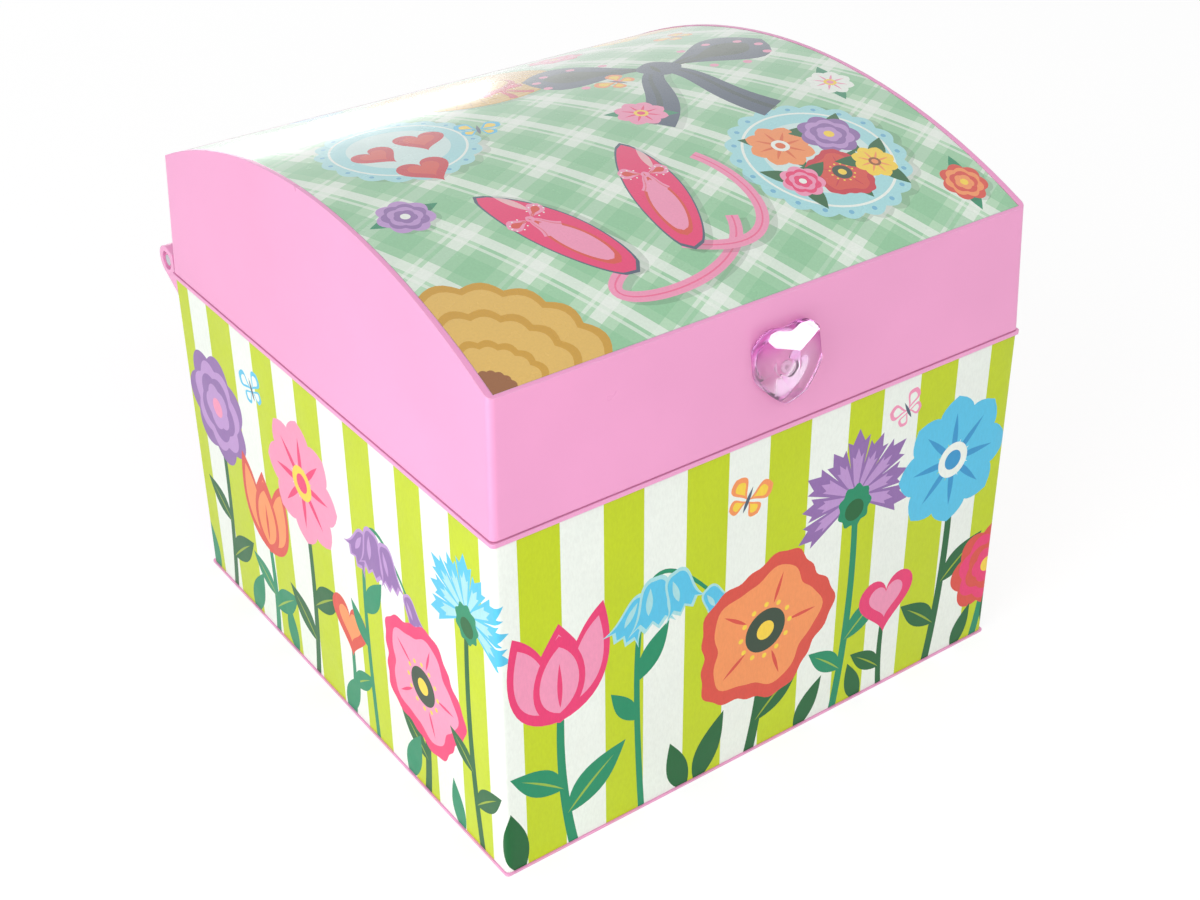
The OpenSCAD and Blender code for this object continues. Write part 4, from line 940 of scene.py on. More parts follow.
def fan_corner(radius):
    """A shell for a corner: scalloped rings of ochre, straw and brown."""
    return [inked(scalloped(share * radius, 120, 0.06, 20), ink) for share, ink in
            ((1.0, "ochre"), (0.93, "straw"), (0.74, "ochre"), (0.67, "straw"), (0.46, "ochre"),
             (0.40, "straw"), (0.2, "brown"))]


print("a hat has", len(straw_hat(20)), "outlines")

# %% The printed lid sheet
LID_TOP, HALF_CHORD, RISE = 139.0, 73.5, 17.0
DOME_R = (HALF_CHORD ** 2 + RISE ** 2) / (2 * RISE)
DOME_Z = LID_TOP - DOME_R
SHEET_OUT = DOME_R - 0.15                       # radius of the printed face
SHEET_X, SHEET_Y = 71.75, 72.55
SHEET_V = SHEET_OUT * asin(SHEET_Y / SHEET_OUT)


def over_the_dome(u, v, depth):
    """Flat v is arc length from the dome's ridge, so it turns the radius by v / radius."""
    r, a = SHEET_OUT - depth, v / SHEET_OUT
    return np.stack([u, r * np.sin(a), DOME_Z + r * np.cos(a)], axis=1)


def on_leaves(head, at, leaf_size, ink, turns):
    """A flower head over leaves that point away from its middle."""
    rows = [(moved(leaf(*leaf_size), at, turn=turn), INK[ink], 1.0) for turn in turns]
    return rows + placed(head, at)


lid_rows = [inked([(-90, -90), (90, -90), (90, 90), (-90, 90)], "cloth")]
lid_rows += gingham(110, 17, (27, 117), ((0.0, 6.5, "deep_cloth", 0.62), (9.2, 3.0, "white", 0.72),
                                         (13.2, 0.9, "white", 0.55)))
lid_rows += placed(fan_corner(30), (-SHEET_X, -SHEET_V))
lid_rows += placed(fan_corner(24), (SHEET_X, SHEET_V), turn=180)
lid_rows += placed(shaded(scalloped_mat(22, 20)), (37, -43))
for x, y, head in ((31, -36, cosmos(8.2, "orange", "deep_orange", "white")),
                   (45, -37, rosette(7.6, "purple", "lilac", "yellow")),
                   (38, -50, poppy(8.0, "red", "coral", "dark")),
                   (27, -49, rosette(5.4, "rose", "magenta", "white")),
                   (48, -50, cosmos(5.6, "yellow", "orange", "brown"))):
    lid_rows += on_leaves(head, (x, y), (10, 4.2), "leaf", (20 + x, 150 + x, 265 + x))
lid_rows += placed(shaded(scalloped_mat(19, 18)), (-44, 8))
for x, y, size, turn in ((-50, 6, 11, 18), (-38, 8, 12, -14), (-45, -7, 12.5, 4)):
    lid_rows += placed(heart_flower(size, "red", "coral"), (x, y), turn=turn)
for knots in (((-26, -56), (-52, -66), (-2, -74), (4, -52)), ((-12, -55), (12, -70), (18, -46), (10, -30))):
    lid_rows += shaded(ribbon(knots, 3.0, "rose", "magenta"))
for at, turn in (((-26, -58), 26), ((-10, -57), -12)):
    lid_rows += placed(shaded(slipper(39, "magenta", "coral", "slate")), at, turn=turn)
lid_rows += placed(shaded(straw_hat(24)), (-8, 40), turn=-12)
lid_rows += placed(shaded(bow(36, "slate", "dark", "rose"), cover=0.2), (34, 14), turn=-14)
for x, y, head in ((12, -8, cosmos(6.5, "rose", "magenta", "yellow")),
                   (-60, -22, rosette(6.5, "lilac", "purple", "white")),
                   (62, -18, cosmos(6, "white", "rose", "yellow")),
                   (-58, 38, poppy(7, "coral", "orange", "dark")),
                   (28, 52, rosette(7.5, "magenta", "rose", "yellow")),
                   (52, 58, cosmos(7, "yellow", "orange", "white")),
                   (-38, 61, cosmos(7.5, "sky", "deep_sky", "white")),
                   (64, -64, rosette(6, "coral", "orange", "yellow"))):
    lid_rows += on_leaves(shaded(head, (0.8, -0.9)), (x, y), (9, 3.6), "teal", (40 + 2 * x, 215 + 2 * x))
for x, y, turn, ink in ((20, 12, 30, "orange"), (-24, 6, -24, "sky"), (58, 38, 18, "orange")):
    lid_rows += placed(butterfly(6.5, ink, "yellow"), (x, y), turn=turn)
bends = np.linspace(-SHEET_V, SHEET_V, 49)[1:-1]
lid_print = printed_sheet("printed_lid_sheet", (-SHEET_X, -SHEET_V), (SHEET_X, SHEET_V), lid_rows,
                          over_the_dome, bends_up=bends)
lid_print.data.materials.append(film_print("lid_sheet_print", 0.24, 0.5, 0.006, (1, 1, 1), 0.7, 0.5))
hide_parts("lid_sheet")
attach(lid_print, "lid")
print("the lid's sheet is", round(2 * SHEET_X, 1), "by", round(2 * SHEET_V, 1), "mm when flat")

# %% [markdown]
# The heart is a cut jewel of clear pink acrylic. It could be built facet by facet, but a jewel of
# this kind begins as a smooth pillow with flat faces cut into it, and that is how it is made
# here: rings of one heart outline form the pillow, and Blender's own plane cut takes each facet
# off. The cut faces are flat and their edges sharp, and what is left of the pillow stays smooth.
# A blind hole in the back takes the stud that holds it, whose ring shows through. The deeper
# pink towards its rim is painted shade, a stand-in for the longer way light takes through the
# acrylic there.

# %% Heart jewel
WALL_FOOT, WALL_H, WALL_IN = 90.3, 31.7, 1.2    # the lid's front wall, and how far its top leans in
LEAN = atan(WALL_IN / WALL_H)
JEWEL_Z = WALL_FOOT + WALL_H / 2
WALL_Y = -74.7                  # the foot of that wall
JEWEL_Y = WALL_Y + WALL_IN / 2
JEWEL_W, JEWEL_H = 19.5, 18.5
ROUND = 64                      # points in each ring of the jewel
CREST, GIRDLE_Z = 6.5, 1.2      # its highest place, and the height of its widest ring


def on_lid_front(points):
    """From the lid's front face to the box's frame: x along it, y up it, z out of it."""
    x, y, z = np.asarray(points, float).T
    return np.stack([x, JEWEL_Y + y * sin(LEAN) - z * cos(LEAN),
                     JEWEL_Z + y * cos(LEAN) + z * sin(LEAN)], axis=1)


def heart_ring(share, z):
    """A heart curve blended with a circle, drawn in to a share of the jewel's size, at height z."""
    a = np.arange(ROUND) * TURN / ROUND
    x = -(0.225 * np.sin(a) ** 3 + 0.275 * np.sin(a)) * JEWEL_W
    y = (0.45 * heart_rise(a) + 0.275 * np.cos(a) + 0.0379) / 0.9242 * JEWEL_H
    return np.stack([share * x, share * y, np.full(ROUND, z)], axis=1)


def peg_ring(radius, z):
    """A circle with its points in the same turning order as the heart's."""
    a = np.arange(ROUND) * TURN / ROUND
    return np.stack([-radius * np.sin(a), radius * np.cos(a), np.full(ROUND, z)], axis=1)


rise = np.sin(np.linspace(0, 0.97, 14)[1:] * TURN / 4)
pillow = [peg_ring(radius, z) for radius, z in ((1.8, 0.95), (2.2, 0.8), (2.5, 0.14))]
pillow += [heart_ring(share, z) for share, z in
           ((0.86, 0.14), (0.93, 0.16), (0.972, 0.34), (0.993, 0.7), (1.0, GIRDLE_Z))]
pillow += [heart_ring((1 - t ** 2.6) ** (1 / 2.6), GIRDLE_Z + t * (CREST - GIRDLE_Z)) for t in rise]
end = len(pillow) * ROUND
jewel = put_mesh("heart_gem", np.concatenate(pillow + [[(0, 0, 1), (0, 0.4, CREST)]]),
                 ring_quads(len(pillow), ROUND),
                 np.concatenate([fan(end, ROUND, inwards=True), fan(end + 1, ROUND, end - ROUND)]))

# a point of each cut and the way it faces; the first is the bright one under the notch
FACETS = (((0, 5.4, 5.6), (0, 0.66, 0.75)),
          ((0, 0, 5.75), (-0.27, -0.03, 0.96)), ((0, 0, 5.75), (0.27, -0.03, 0.96)),
          ((-5.4, 4, 4.3), (-0.78, -0.08, 0.62)), ((-4.6, 0, 4.4), (-0.62, -0.3, 0.72)),
          ((7.6, 3.5, 3.8), (0.75, 0.1, 0.65)), ((5.6, -2.6, 4.9), (0.5, -0.38, 0.78)),
          ((0, -7.4, 3.4), (-0.05, -0.55, 0.83)))


def cut(blank, facets):
    """Take the part beyond each plane off, and close the wound with one flat, sharp-edged face."""
    cutting = bmesh.new()
    cutting.from_mesh(blank.data)
    for point, normal in facets:
        every = cutting.verts[:] + cutting.edges[:] + cutting.faces[:]
        bmesh.ops.bisect_plane(cutting, geom=every, plane_co=Vector(point) * MM,
                               plane_no=Vector(normal), clear_outer=True)
        rim = [edge for edge in cutting.edges if edge.is_boundary]
        for face in bmesh.ops.holes_fill(cutting, edges=rim, sides=0)["faces"]:
            face.smooth = False
        for edge in rim:
            edge.smooth = False
    bmesh.ops.triangulate(cutting, faces=[face for face in cutting.faces if len(face.verts) > 4])
    bmesh.ops.recalc_face_normals(cutting, faces=cutting.faces[:])
    cutting.to_mesh(blank.data)
    cutting.free()
    return len(facets)


print(cut(jewel, FACETS), "facets cut")
on_wall = on_lid_front(places_of(jewel.data)) * MM
jewel.data.vertices.foreach_set("co", on_wall.astype(np.float32).ravel())
jewel.data.update()

gem, tree, shader, place = new_finish("pink_acrylic")
unit = add_node(tree, "Mapping", Vector=place, Location=(0, 0, -JEWEL_Z / (JEWEL_H / 2)),
                Scale=(1 / (JEWEL_W / 2 * MM), 0, 1 / (JEWEL_H / 2 * MM)))
middle = add_node(tree, "TexGradient", {"gradient_type": "SPHERICAL"}, Vector=unit.outputs[0])
# painted shade: the pink deepens to magenta towards the rim, standing in for the longer way light takes
# through the acrylic there
painted_rim_shade = between(tree, middle.outputs["Fac"], 0.0, 1.0, 0.02, 0.3)
feed(tree, shader, Base_Color=blend_colours(tree, painted_rim_shade, srgb(250, 142, 236), srgb(252, 232, 248)),
     Roughness=uneven(tree, place, 2.2, 2, 0.01, 0.035), Transmission_Weight=0.94, IOR=1.5)
jewel.data.materials.append(gem)

stud_rings = [peg_ring(radius, z) for radius, z in
              ((0.02, -4.6), (1.2, -4.6), (1.5, -4.3), (1.5, 0.65), (1.4, 0.75), (0.8, 0.75),
               (0.65, 0.7), (0.6, -0.4), (0.02, -0.5))]
stud = put_mesh("gem_stud", on_lid_front(np.concatenate(stud_rings)),
                ring_quads(len(stud_rings), ROUND), end_caps(len(stud_rings), ROUND))
stud.data.set_sharp_from_angle(angle=radians(35))
stud.data.materials.append(satin_plastic)
for piece in (jewel, stud):
    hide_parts("heart_jewel")
    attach(piece, "lid")

# %% [markdown]
# The metal parts are small, and each kind is told by how it was made. Screws and arbors are
# turned, which leaves fine rings. The bed of the movement is die cast and grainy. The comb is
# ground across its teeth, the mainspring is rolled and blued, and the cylinder is drawn brass.
# All of them are a fully metallic shader, so their colour is the colour of the reflection, and a
# stretched noise gives the marks of the tool.

# %% Metals
def metal(name, colour, worn, roughness, stretch, mark_mm, depth, round_mm=0.08):
    """Bare metal: two tones of one colour, a painted highlight on the edges, tool marks drawn out by
    stretch.
    """
    stuff, tree, shader, place = new_finish(name)
    rounded = soft_edges(tree, round_mm)
    marks = noise(tree, place, mark_mm, 3, stretch)
    stain = uneven(tree, place, 4.5, 3, 0.0, 1.0, 0.35, 0.65)
    # painted highlight: a colour a quarter brighter, mixed in on the rounded edges
    bright = tuple(min(1.0, 1.25 * c) for c in colour)
    body = blend_colours(tree, stain, worn, colour)
    body = blend_colours(tree, edge_mask(tree, rounded), body, bright)
    feed(tree, shader, Base_Color=body, Normal=relief(tree, marks, depth, rounded), Metallic=1.0,
         Roughness=between(tree, marks, roughness - 0.06, roughness + 0.1, 0.3, 0.7))
    return stuff


turned_steel = metal("turned_steel", srgb(206, 208, 212), srgb(176, 180, 186), 0.22, (1, 1, 0.08),
                     0.25, 0.002)
long_steel = metal("drawn_steel", srgb(206, 208, 212), srgb(180, 184, 190), 0.2, (0.05, 1, 1), 0.3, 0.002)
ground_steel = metal("ground_steel", srgb(168, 174, 184), srgb(140, 147, 158), 0.28, (0.06, 1, 1),
                     0.2, 0.003)
blued_steel = metal("blued_steel", srgb(108, 118, 138), srgb(86, 92, 110), 0.3, (1, 1, 0.1), 0.3, 0.002)
cast_zinc = metal("cast_zinc", srgb(172, 174, 178), srgb(150, 152, 156), 0.45, (1, 1, 1), 0.35, 0.02,
                  0.25)
brass = metal("brass", srgb(222, 188, 104), srgb(196, 158, 78), 0.24, (1, 1, 0.12), 0.3, 0.002)
drawn_brass = metal("drawn_brass", srgb(226, 194, 112), srgb(204, 168, 86), 0.2, (1, 0.06, 1), 0.3, 0.002)
# the nylon's second colour is a painted highlight on its edges, as on the other plastics
bed_nylon = moulded("white_nylon", srgb(236, 232, 222), srgb(250, 248, 242), 0.4, 0.4, 0.006, 0.12)
dress(turned_steel, "cover_screws", "panel_screws", "tray_screws", "movement_screws", "comb_screws",
      "spindle", "winding_arbor", "jewel_clip", "stop_button", "stop_spring", "dancer_spring")
dress(long_steel, "hinge_pin", "cylinder_arbor")
dress(ground_steel, "comb")
dress(blued_steel, "mainspring")
dress(cast_zinc, "bedplate", "governor_bracket")
dress(brass, "stage_bush", "spindle_gear", "spring_barrel", "winding_key", "cylinder_pinion")
dress(drawn_brass, "cylinder")
dress(bed_nylon, "worm_wheel", "governor_worm", "governor_fan")

silver, tree, shader, place = new_finish("silvered_glass")
rounded = soft_edges(tree, 0.35)
edged = blend_colours(tree, edge_mask(tree, rounded), srgb(242, 245, 245), srgb(190, 222, 210))
feed(tree, shader, Base_Color=edged, Roughness=uneven(tree, place, 9, 3, 0.015, 0.04), Metallic=1.0,
     Normal=relief(tree, noise(tree, place, 30, 1), 0.01, rounded))
dress(silver, "mirror_glass")
print("metal finishes:", len([m for m in bpy.data.materials if m.users]))

# %% [markdown]
# Five rolls of foam under velvet stand side by side in the front well, and a ring is pushed
# between two of them. A roll is made as a slack bag with a flat foot, blown up a little by a
# cloth simulation whose foot is pinned, and held to a small growth so that it keeps clear of
# its neighbours. The cloth is worked out at four times its size, where the solver's steps suit
# it. One roll is simulated and stands in all five places, turned end for end in every other one.

# %% Velvet rolls
def velvet(name, deep, light, nap_mm, depth):
    """Short pile: patches where the nap leans the other way, a fine grain of fibre ends, sheen."""
    stuff, tree, shader, place = new_finish(name)
    lean = between(tree, noise(tree, place, 8, 3, (0.5, 1, 1)), 0.0, 1.0, 0.38, 0.62)
    pile = noise(tree, place, nap_mm, 2)
    tips = between(tree, between(tree, pile, 0.0, 1.0, 0.3, 0.7), 0.0, 0.35)
    body = blend_colours(tree, tips, blend_colours(tree, lean, deep, light), light)
    feed(tree, shader, Base_Color=body, Normal=relief(tree, pile, depth),
         Roughness=between(tree, pile, 0.8, 0.96), Sheen_Weight=0.8, Sheen_Roughness=0.4,
         Sheen_Tint=srgb(255, 176, 216), Specular_IOR_Level=0.15)
    return stuff


ROLL_X, ROLL_T, ROLL_PITCH = 61.2, 7.5, 7.9
ROLL_FOOT, ROLL_TOP, ROLL_Y1 = 68.0, 85.5, -61.95
BLOW_UP = 4                     # soft forms are worked out at this many times their size
BAG_VOXEL, DOLL_VOXEL = 4.8, 0.96       # edge of a remesh cell, at that larger size
HELD = 0.5                      # how far a point of the bag may move, at the roll's own size


def remeshed(thing, voxel_mm, rounds=0):
    """The even skin of a thing after a voxel remesh and so many rounds of smoothing."""
    remesh = thing.modifiers.new("skin", "REMESH")
    remesh.mode, remesh.voxel_size = "VOXEL", voxel_mm * MM
    if rounds:
        even = thing.modifiers.new("even", "SMOOTH")
        even.factor, even.iterations = 0.5, rounds
    seen = thing.evaluated_get(bpy.context.evaluated_depsgraph_get())
    return bpy.data.meshes.new_from_object(seen)


def roll_bag():
    """A long bag, a little slimmer than the roll: an outline with a flat foot and a round top at
    stations along x, drawn in at both ends."""
    slim, arch = 0.45, np.linspace(0, pi, 15)
    half, crest = ROLL_T / 2 - slim, ROLL_TOP - ROLL_FOOT - ROLL_T / 2
    up = np.linspace(0.6, crest, 7)[:-1]
    ys = np.concatenate([[-half + 0.8, 0, half - 0.8], np.full(6, half), half * np.cos(arch),
                         np.full(6, -half)])
    zs = np.concatenate([[0, 0, 0], up, crest + half * np.sin(arch), up[::-1]])
    x = np.concatenate([[-ROLL_X + 0.3, -ROLL_X + 0.5, -ROLL_X + 1.1],
                        np.linspace(-ROLL_X + 2, ROLL_X - 2, 40),
                        [ROLL_X - 1.1, ROLL_X - 0.5, ROLL_X - 0.3]])
    share = np.ones(len(x))
    share[[0, -1]], share[[1, -2]], share[[2, -3]] = 0.72, 0.88, 0.97
    middle = 0.5 * (crest + half)
    rows = np.stack([np.repeat(x, len(ys)), np.outer(share, ys).ravel(),
                     (middle + np.outer(share, zs - middle)).ravel()], axis=1)
    ends = [(x[0], 0, middle), (x[-1], 0, middle)]
    n, count = len(ys), len(x)
    caps = np.concatenate([fan(n * count, n, inwards=True), fan(n * count + 1, n, n * (count - 1))])
    return np.concatenate([rows, ends]) * BLOW_UP, ring_quads(count, n), caps


def settled(points, quads, triangles):
    """The bag after it was blown up: remeshed evenly, simulated as cloth with its foot pinned, each
    point held to half a millimetre from where it began."""
    bag = put_mesh("bag", points, quads, triangles)
    evened = remeshed(bag, BAG_VOXEL)
    bag.modifiers.clear()
    bag.data = evened
    start = moved_to = places_of(evened)
    foot = bag.vertex_groups.new(name="foot")
    foot.add([int(i) for i in np.flatnonzero(start[:, 2] < 1.0 * BLOW_UP)], 1.0, "REPLACE")
    cloth = bag.modifiers.new("cloth", "CLOTH")
    cloth.settings.vertex_group_mass = "foot"
    cloth.settings.use_pressure = True
    cloth.settings.uniform_pressure_force = 4
    cloth.settings.effector_weights.gravity = 0
    cloth.settings.shrink_min = -0.03
    for frame_number in range(1, 21):
        bpy.context.scene.frame_set(frame_number)
    moved_to = places_of(bag.evaluated_get(bpy.context.evaluated_depsgraph_get()).to_mesh())
    bpy.context.scene.frame_set(1)
    step = moved_to - start
    far = np.linalg.norm(step, axis=1, keepdims=True)
    step *= np.minimum(1, HELD * BLOW_UP / np.maximum(far, SAME_PLACE))
    faces = quads_of(evened)
    bpy.data.objects.remove(bag)
    return (start + step) / BLOW_UP, faces


bag_points, bag_faces = settled(*roll_bag())
print("the settled roll has", len(bag_faces), "faces")
pink_velvet = velvet("pink_velvet", srgb(196, 48, 128), srgb(232, 104, 172), 0.16, 0.05)
along, across, up = bag_points.T
wave = (0.14 * np.sin(along / 5.3) + 0.1 * np.sin(along / 2.9 + up)) * (up > 9)
for number in range(5):
    turn = 1 if number % 2 == 0 else -1
    height = np.clip(up + wave * (0.7 + 0.1 * number), 0.02, ROLL_TOP - ROLL_FOOT)
    spots = np.stack([turn * along, turn * across + ROLL_Y1 + number * ROLL_PITCH,
                      ROLL_FOOT + height], axis=1)
    roll = put_mesh("velvet_roll_%d" % (number + 1), spots, bag_faces)
    roll.modifiers.new("finer", "SUBSURF").levels = 1
    roll.modifiers["finer"].render_levels = 1
    roll.data.materials.append(pink_velvet)
    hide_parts("ring_roll_%d" % (number + 1))
    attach(roll, "case")

# %% [markdown]
# The floors of the three other wells are lined with felt. It is cut from a sheet about a
# millimetre thick and laid in. Felt has no weave: its fibres lie every way, so its face is a
# little lumpy and its cut edge is soft. The piece round the podium has a round hole, and its
# points run in rays from the hole to the straight edges.

# %% Felt linings
def box_loop(low, high):
    """Points round a rectangle, corners included, anticlockwise from its lowest corner."""
    corners = np.array([low, (high[0], low[1]), high, (low[0], high[1])])
    t = np.linspace(0, 1, 17)[:-1, None]
    return np.concatenate([a + (b - a) * t for a, b in zip(corners, np.roll(corners, -1, axis=0))])


def felt_sheet(name, inner, outer, z, thick, hole):
    """A closed sheet between two loops of as many points, lumpy on top and flat below. Without a
    hole the inner loop is closed by a fan of triangles on both faces."""
    rows, n = 14, len(inner)
    t = np.linspace(0, 1, rows)[:, None, None]
    flat = (inner[None] * (1 - t) + outer[None] * t).reshape(-1, 2)
    x, y = flat.T
    lumps = 0.05 * np.sin(x * 1.7 + 0.6 * y) * np.sin(1.3 * y - 0.4 * x)
    soft = np.zeros((rows, n))
    soft[-1] = 1
    soft[0] = 1 if hole else 0
    points = [np.column_stack([flat, z + thick - 0.05 + lumps - 0.28 * soft.ravel()]),
              np.column_stack([flat, np.full(len(flat), z)])]
    triangles = ()
    if not hole:
        middle = inner.mean(axis=0)
        points.append([(*middle, z + thick - 0.05), (*middle, z)])
        first = rows * n
        triangles = np.concatenate([fan(2 * first, n), fan(2 * first + 1, n, first, inwards=True)])
    return put_mesh(name, np.concatenate(points), sheet_quads(rows, n, hole), triangles)


pink_felt = velvet("pink_felt", srgb(206, 66, 142), srgb(232, 104, 172), 0.45, 0.06)
FELT_T, LAID = 1.0, 0.05        # its thickness, and the gap under it
WELL_Y0, INSET = -22.2, 0.4     # the wells' front wall, and how far the felt stays clear of a wall
HOLE_R, PODIUM_Y = 22.4, 19.9   # the hole for the podium
for name, low, high, floor_z, replaced in (
        ("felt_left", (-66.1, WELL_Y0), (-33.0, 58.6), 45.8, "side_felt_left"),
        ("felt_right", (33.0, WELL_Y0), (66.1, 58.6), 45.8, "side_felt_right"),
        ("felt_stage", (-29.0, WELL_Y0), (29.0, 55.9), 49.8, "stage_felt")):
    low, high = np.array(low) + INSET, np.array(high) - INSET
    outer = box_loop(low, high)
    if replaced == "stage_felt":
        rays = outer - (0, PODIUM_Y)
        inner = (0, PODIUM_Y) + HOLE_R * rays / np.linalg.norm(rays, axis=1, keepdims=True)
        area = np.prod(high - low) - pi * HOLE_R ** 2
    else:
        middle = (low + high) / 2
        inner, area = middle + 0.05 * (outer - middle), np.prod(high - low)
    lining = felt_sheet(name, inner, outer, floor_z + LAID, FELT_T, replaced == "stage_felt")
    lining.data.set_sharp_from_angle(angle=radians(50))
    lining.data.materials.append(pink_felt)
    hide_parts(replaced)
    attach(lining, "case")
    print(name, "cut to", np.round(high - low, 1), "mm")

# %% [markdown]
# The dancer is a small moulded doll on one pointed toe. Her skeleton is a handful of paths with a
# radius at each point, and round, slightly flattened forms for the pelvis, ribs, head and bun.
# All of them overlap, a voxel remesh fuses them into one skin, and a few rounds of smoothing
# give the soft joins of a moulding. The paint is worked out from where each point lies.

# %% The dancer
STAGE = np.array([0.0, PODIUM_Y, 68.8])         # the middle of the turntable's face


def tube(knots, radii, count=26):
    """A closed tube through knots whose radius runs smoothly through radii. Each ring lies square
    to the path, and the two ends are closed by caps that narrow in a quarter circle."""
    sides, knots = 20, np.asarray(knots, float)
    s = np.concatenate([[0], np.cumsum(np.linalg.norm(np.diff(knots, axis=0), axis=1))])
    t = np.linspace(0, s[-1], count)
    path = np.stack([np.interp(t, s, knots[:, axis]) for axis in range(3)], axis=1)
    radius = np.interp(t, s, radii)
    soft = np.array([0.25, 0.5, 0.25])
    for _ in range(3):
        path[1:-1] = sum(soft[k] * path[k:len(path) - 2 + k] for k in range(3))
        radius[1:-1] = sum(soft[k] * radius[k:len(radius) - 2 + k] for k in range(3))
    along = np.gradient(path, axis=0)
    along /= np.linalg.norm(along, axis=1, keepdims=True)
    cap = np.linspace(0, pi / 2, 6)[:-1]
    reach, width = np.cos(cap)[:, None], np.maximum(np.sin(cap), 0.02)
    path = np.concatenate([path[0] - along[0] * radius[0] * reach, path,
                           path[-1] + along[-1] * radius[-1] * reach[::-1]])
    radius = np.concatenate([radius[0] * width, radius, radius[-1] * width[::-1]])
    along = np.concatenate([np.repeat(along[:1], 5, axis=0), along, np.repeat(along[-1:], 5, axis=0)])
    helper = np.where(abs(along[:, 1:2]) < 0.9, [[0.0, 1.0, 0.0]], [[1.0, 0.0, 0.0]])
    one = np.cross(along, helper)
    one /= np.linalg.norm(one, axis=1, keepdims=True)
    two = np.cross(along, one)
    a = np.arange(sides) * TURN / sides
    rings = path[:, None] + radius[:, None, None] * (np.cos(a)[None, :, None] * one[:, None]
                                                     + np.sin(a)[None, :, None] * two[:, None])
    return rings.reshape(-1, 3), ring_quads(len(path), sides), end_caps(len(path), sides)


def ball(middle, radii, sides=24, rows=15):
    """An ellipsoid as rings between two small polar caps."""
    b = np.linspace(-pi / 2 + 0.03, pi / 2 - 0.03, rows)[:, None]
    a = np.arange(sides)[None] * TURN / sides
    spots = np.stack([np.cos(b) * np.cos(a), np.cos(b) * np.sin(a), np.sin(b) + 0 * a], axis=-1)
    return spots.reshape(-1, 3) * radii + middle, ring_quads(rows, sides), end_caps(rows, sides)


def fused(forms, rounds):
    """One skin round overlapping closed forms, smoothed."""
    points, quads, triangles, first = [], [], [], 0
    for spots, squares, corners in forms:
        points.append(spots * BLOW_UP)
        quads.append(squares + first)
        triangles.append(corners + first)
        first += len(spots)
    lump = put_mesh("lump", np.concatenate(points), np.concatenate(quads), np.concatenate(triangles))
    skin = remeshed(lump, DOLL_VOXEL, rounds)
    bpy.data.objects.remove(lump)
    return places_of(skin) / BLOW_UP, quads_of(skin)


standing = tube([(0, 0, 0.9), (0, 0, 2.4), (0, 0.1, 4.4), (0, 0.35, 8.2), (0.1, 0, 11.6),
                 (0.4, 0, 16), (1.0, 0, 21)], [0.62, 0.78, 0.66, 1.22, 1.0, 1.62, 2.15])
raised = tube([(-0.9, 0, 21.4), (-4.4, -0.6, 18.0), (-7.4, -1.0, 15.0), (-5.3, -1.0, 13.5),
               (-3.0, -1.4, 11.9), (-1.5, -1.6, 10.7), (-0.95, -1.6, 9.9)],
              [2.0, 1.6, 1.05, 1.2, 0.75, 0.66, 0.42])
base, hips, ribs = (ball((0, 0, 0.75), (2.15, 2.15, 0.85), 40, 13), ball((0, 0.1, 22.4), (3.0, 2.2, 2.7)),
                    ball((0, 0, 26.0), (2.0, 1.5, 3.0)))
chest = [ball((0, 0, 29.2), (2.55, 1.75, 2.4)), ball((-1.05, -1.15, 29.4), (1.05, 0.85, 1.0)),
         ball((1.05, -1.15, 29.4), (1.05, 0.85, 1.0))]
shoulders = tube([(-2.5, 0, 31.0), (2.5, 0, 31.0)], [0.95, 0.95], count=8)
neck = tube([(0, 0, 30.8), (0, 0.05, 33.2), (0, -0.05, 35.4)], [1.15, 0.92, 1.1], count=10)
head = [ball((0, -0.05, 36.95), (2.3, 2.55, 2.75)), ball((0, -0.85, 35.4), (1.5, 1.45, 1.35)),
        ball((0, -1.55, 34.75), (0.7, 0.62, 0.5)), ball((0, 1.15, 39.5), (1.5, 1.45, 1.3))]
arms = [tube([(side * 2.6, 0, 31.1), (side * 5.0, -0.4, 33.6), (side * 7.1, -0.6, 35.6),
              (side * 6.2, -0.8, 38.6), (side * 4.3, -1.0, 41.6), (side * 3.1, -1.1, 43.0),
              (side * 1.4, -1.2, 44.3)], [0.98, 0.8, 0.72, 0.7, 0.46, 0.52, 0.3]) for side in (-1, 1)]
doll_points, doll_faces = fused([base, standing, raised, hips, ribs, *chest, shoulders, neck, *head,
                                 *arms], 5)
x, y, z = doll_points.T
nose = np.exp(-((x / 0.34) ** 2 + ((z - 36.6 + 0.3 * (y + 2.6)) / 0.55) ** 2)) * (y < -1.8)
brow = np.exp(-((z - 37.7) / 0.35) ** 2) * (y < -1.6) * (abs(x) < 1.9)
socket = np.exp(-(((abs(x) - 0.92) / 0.5) ** 2 + ((z - 37.05) / 0.34) ** 2)) * (y < -1.6)
lips = np.exp(-((x / 0.5) ** 2 + ((z - 35.5) / 0.2) ** 2)) * (y < -1.6)
doll_points = doll_points - np.outer(0.42 * nose + 0.05 * brow + 0.10 * lips - 0.14 * socket, (0, 1, 0))
print("the doll has", len(doll_faces), "faces")


def inside(*distances):
    """1 where every distance to an edge is above 0 and 0 outside, with a soft step of 0.3 mm."""
    share = 1.0
    for distance in distances:
        share = share * np.clip(distance / 0.3 + 0.5, 0, 1)
    return share


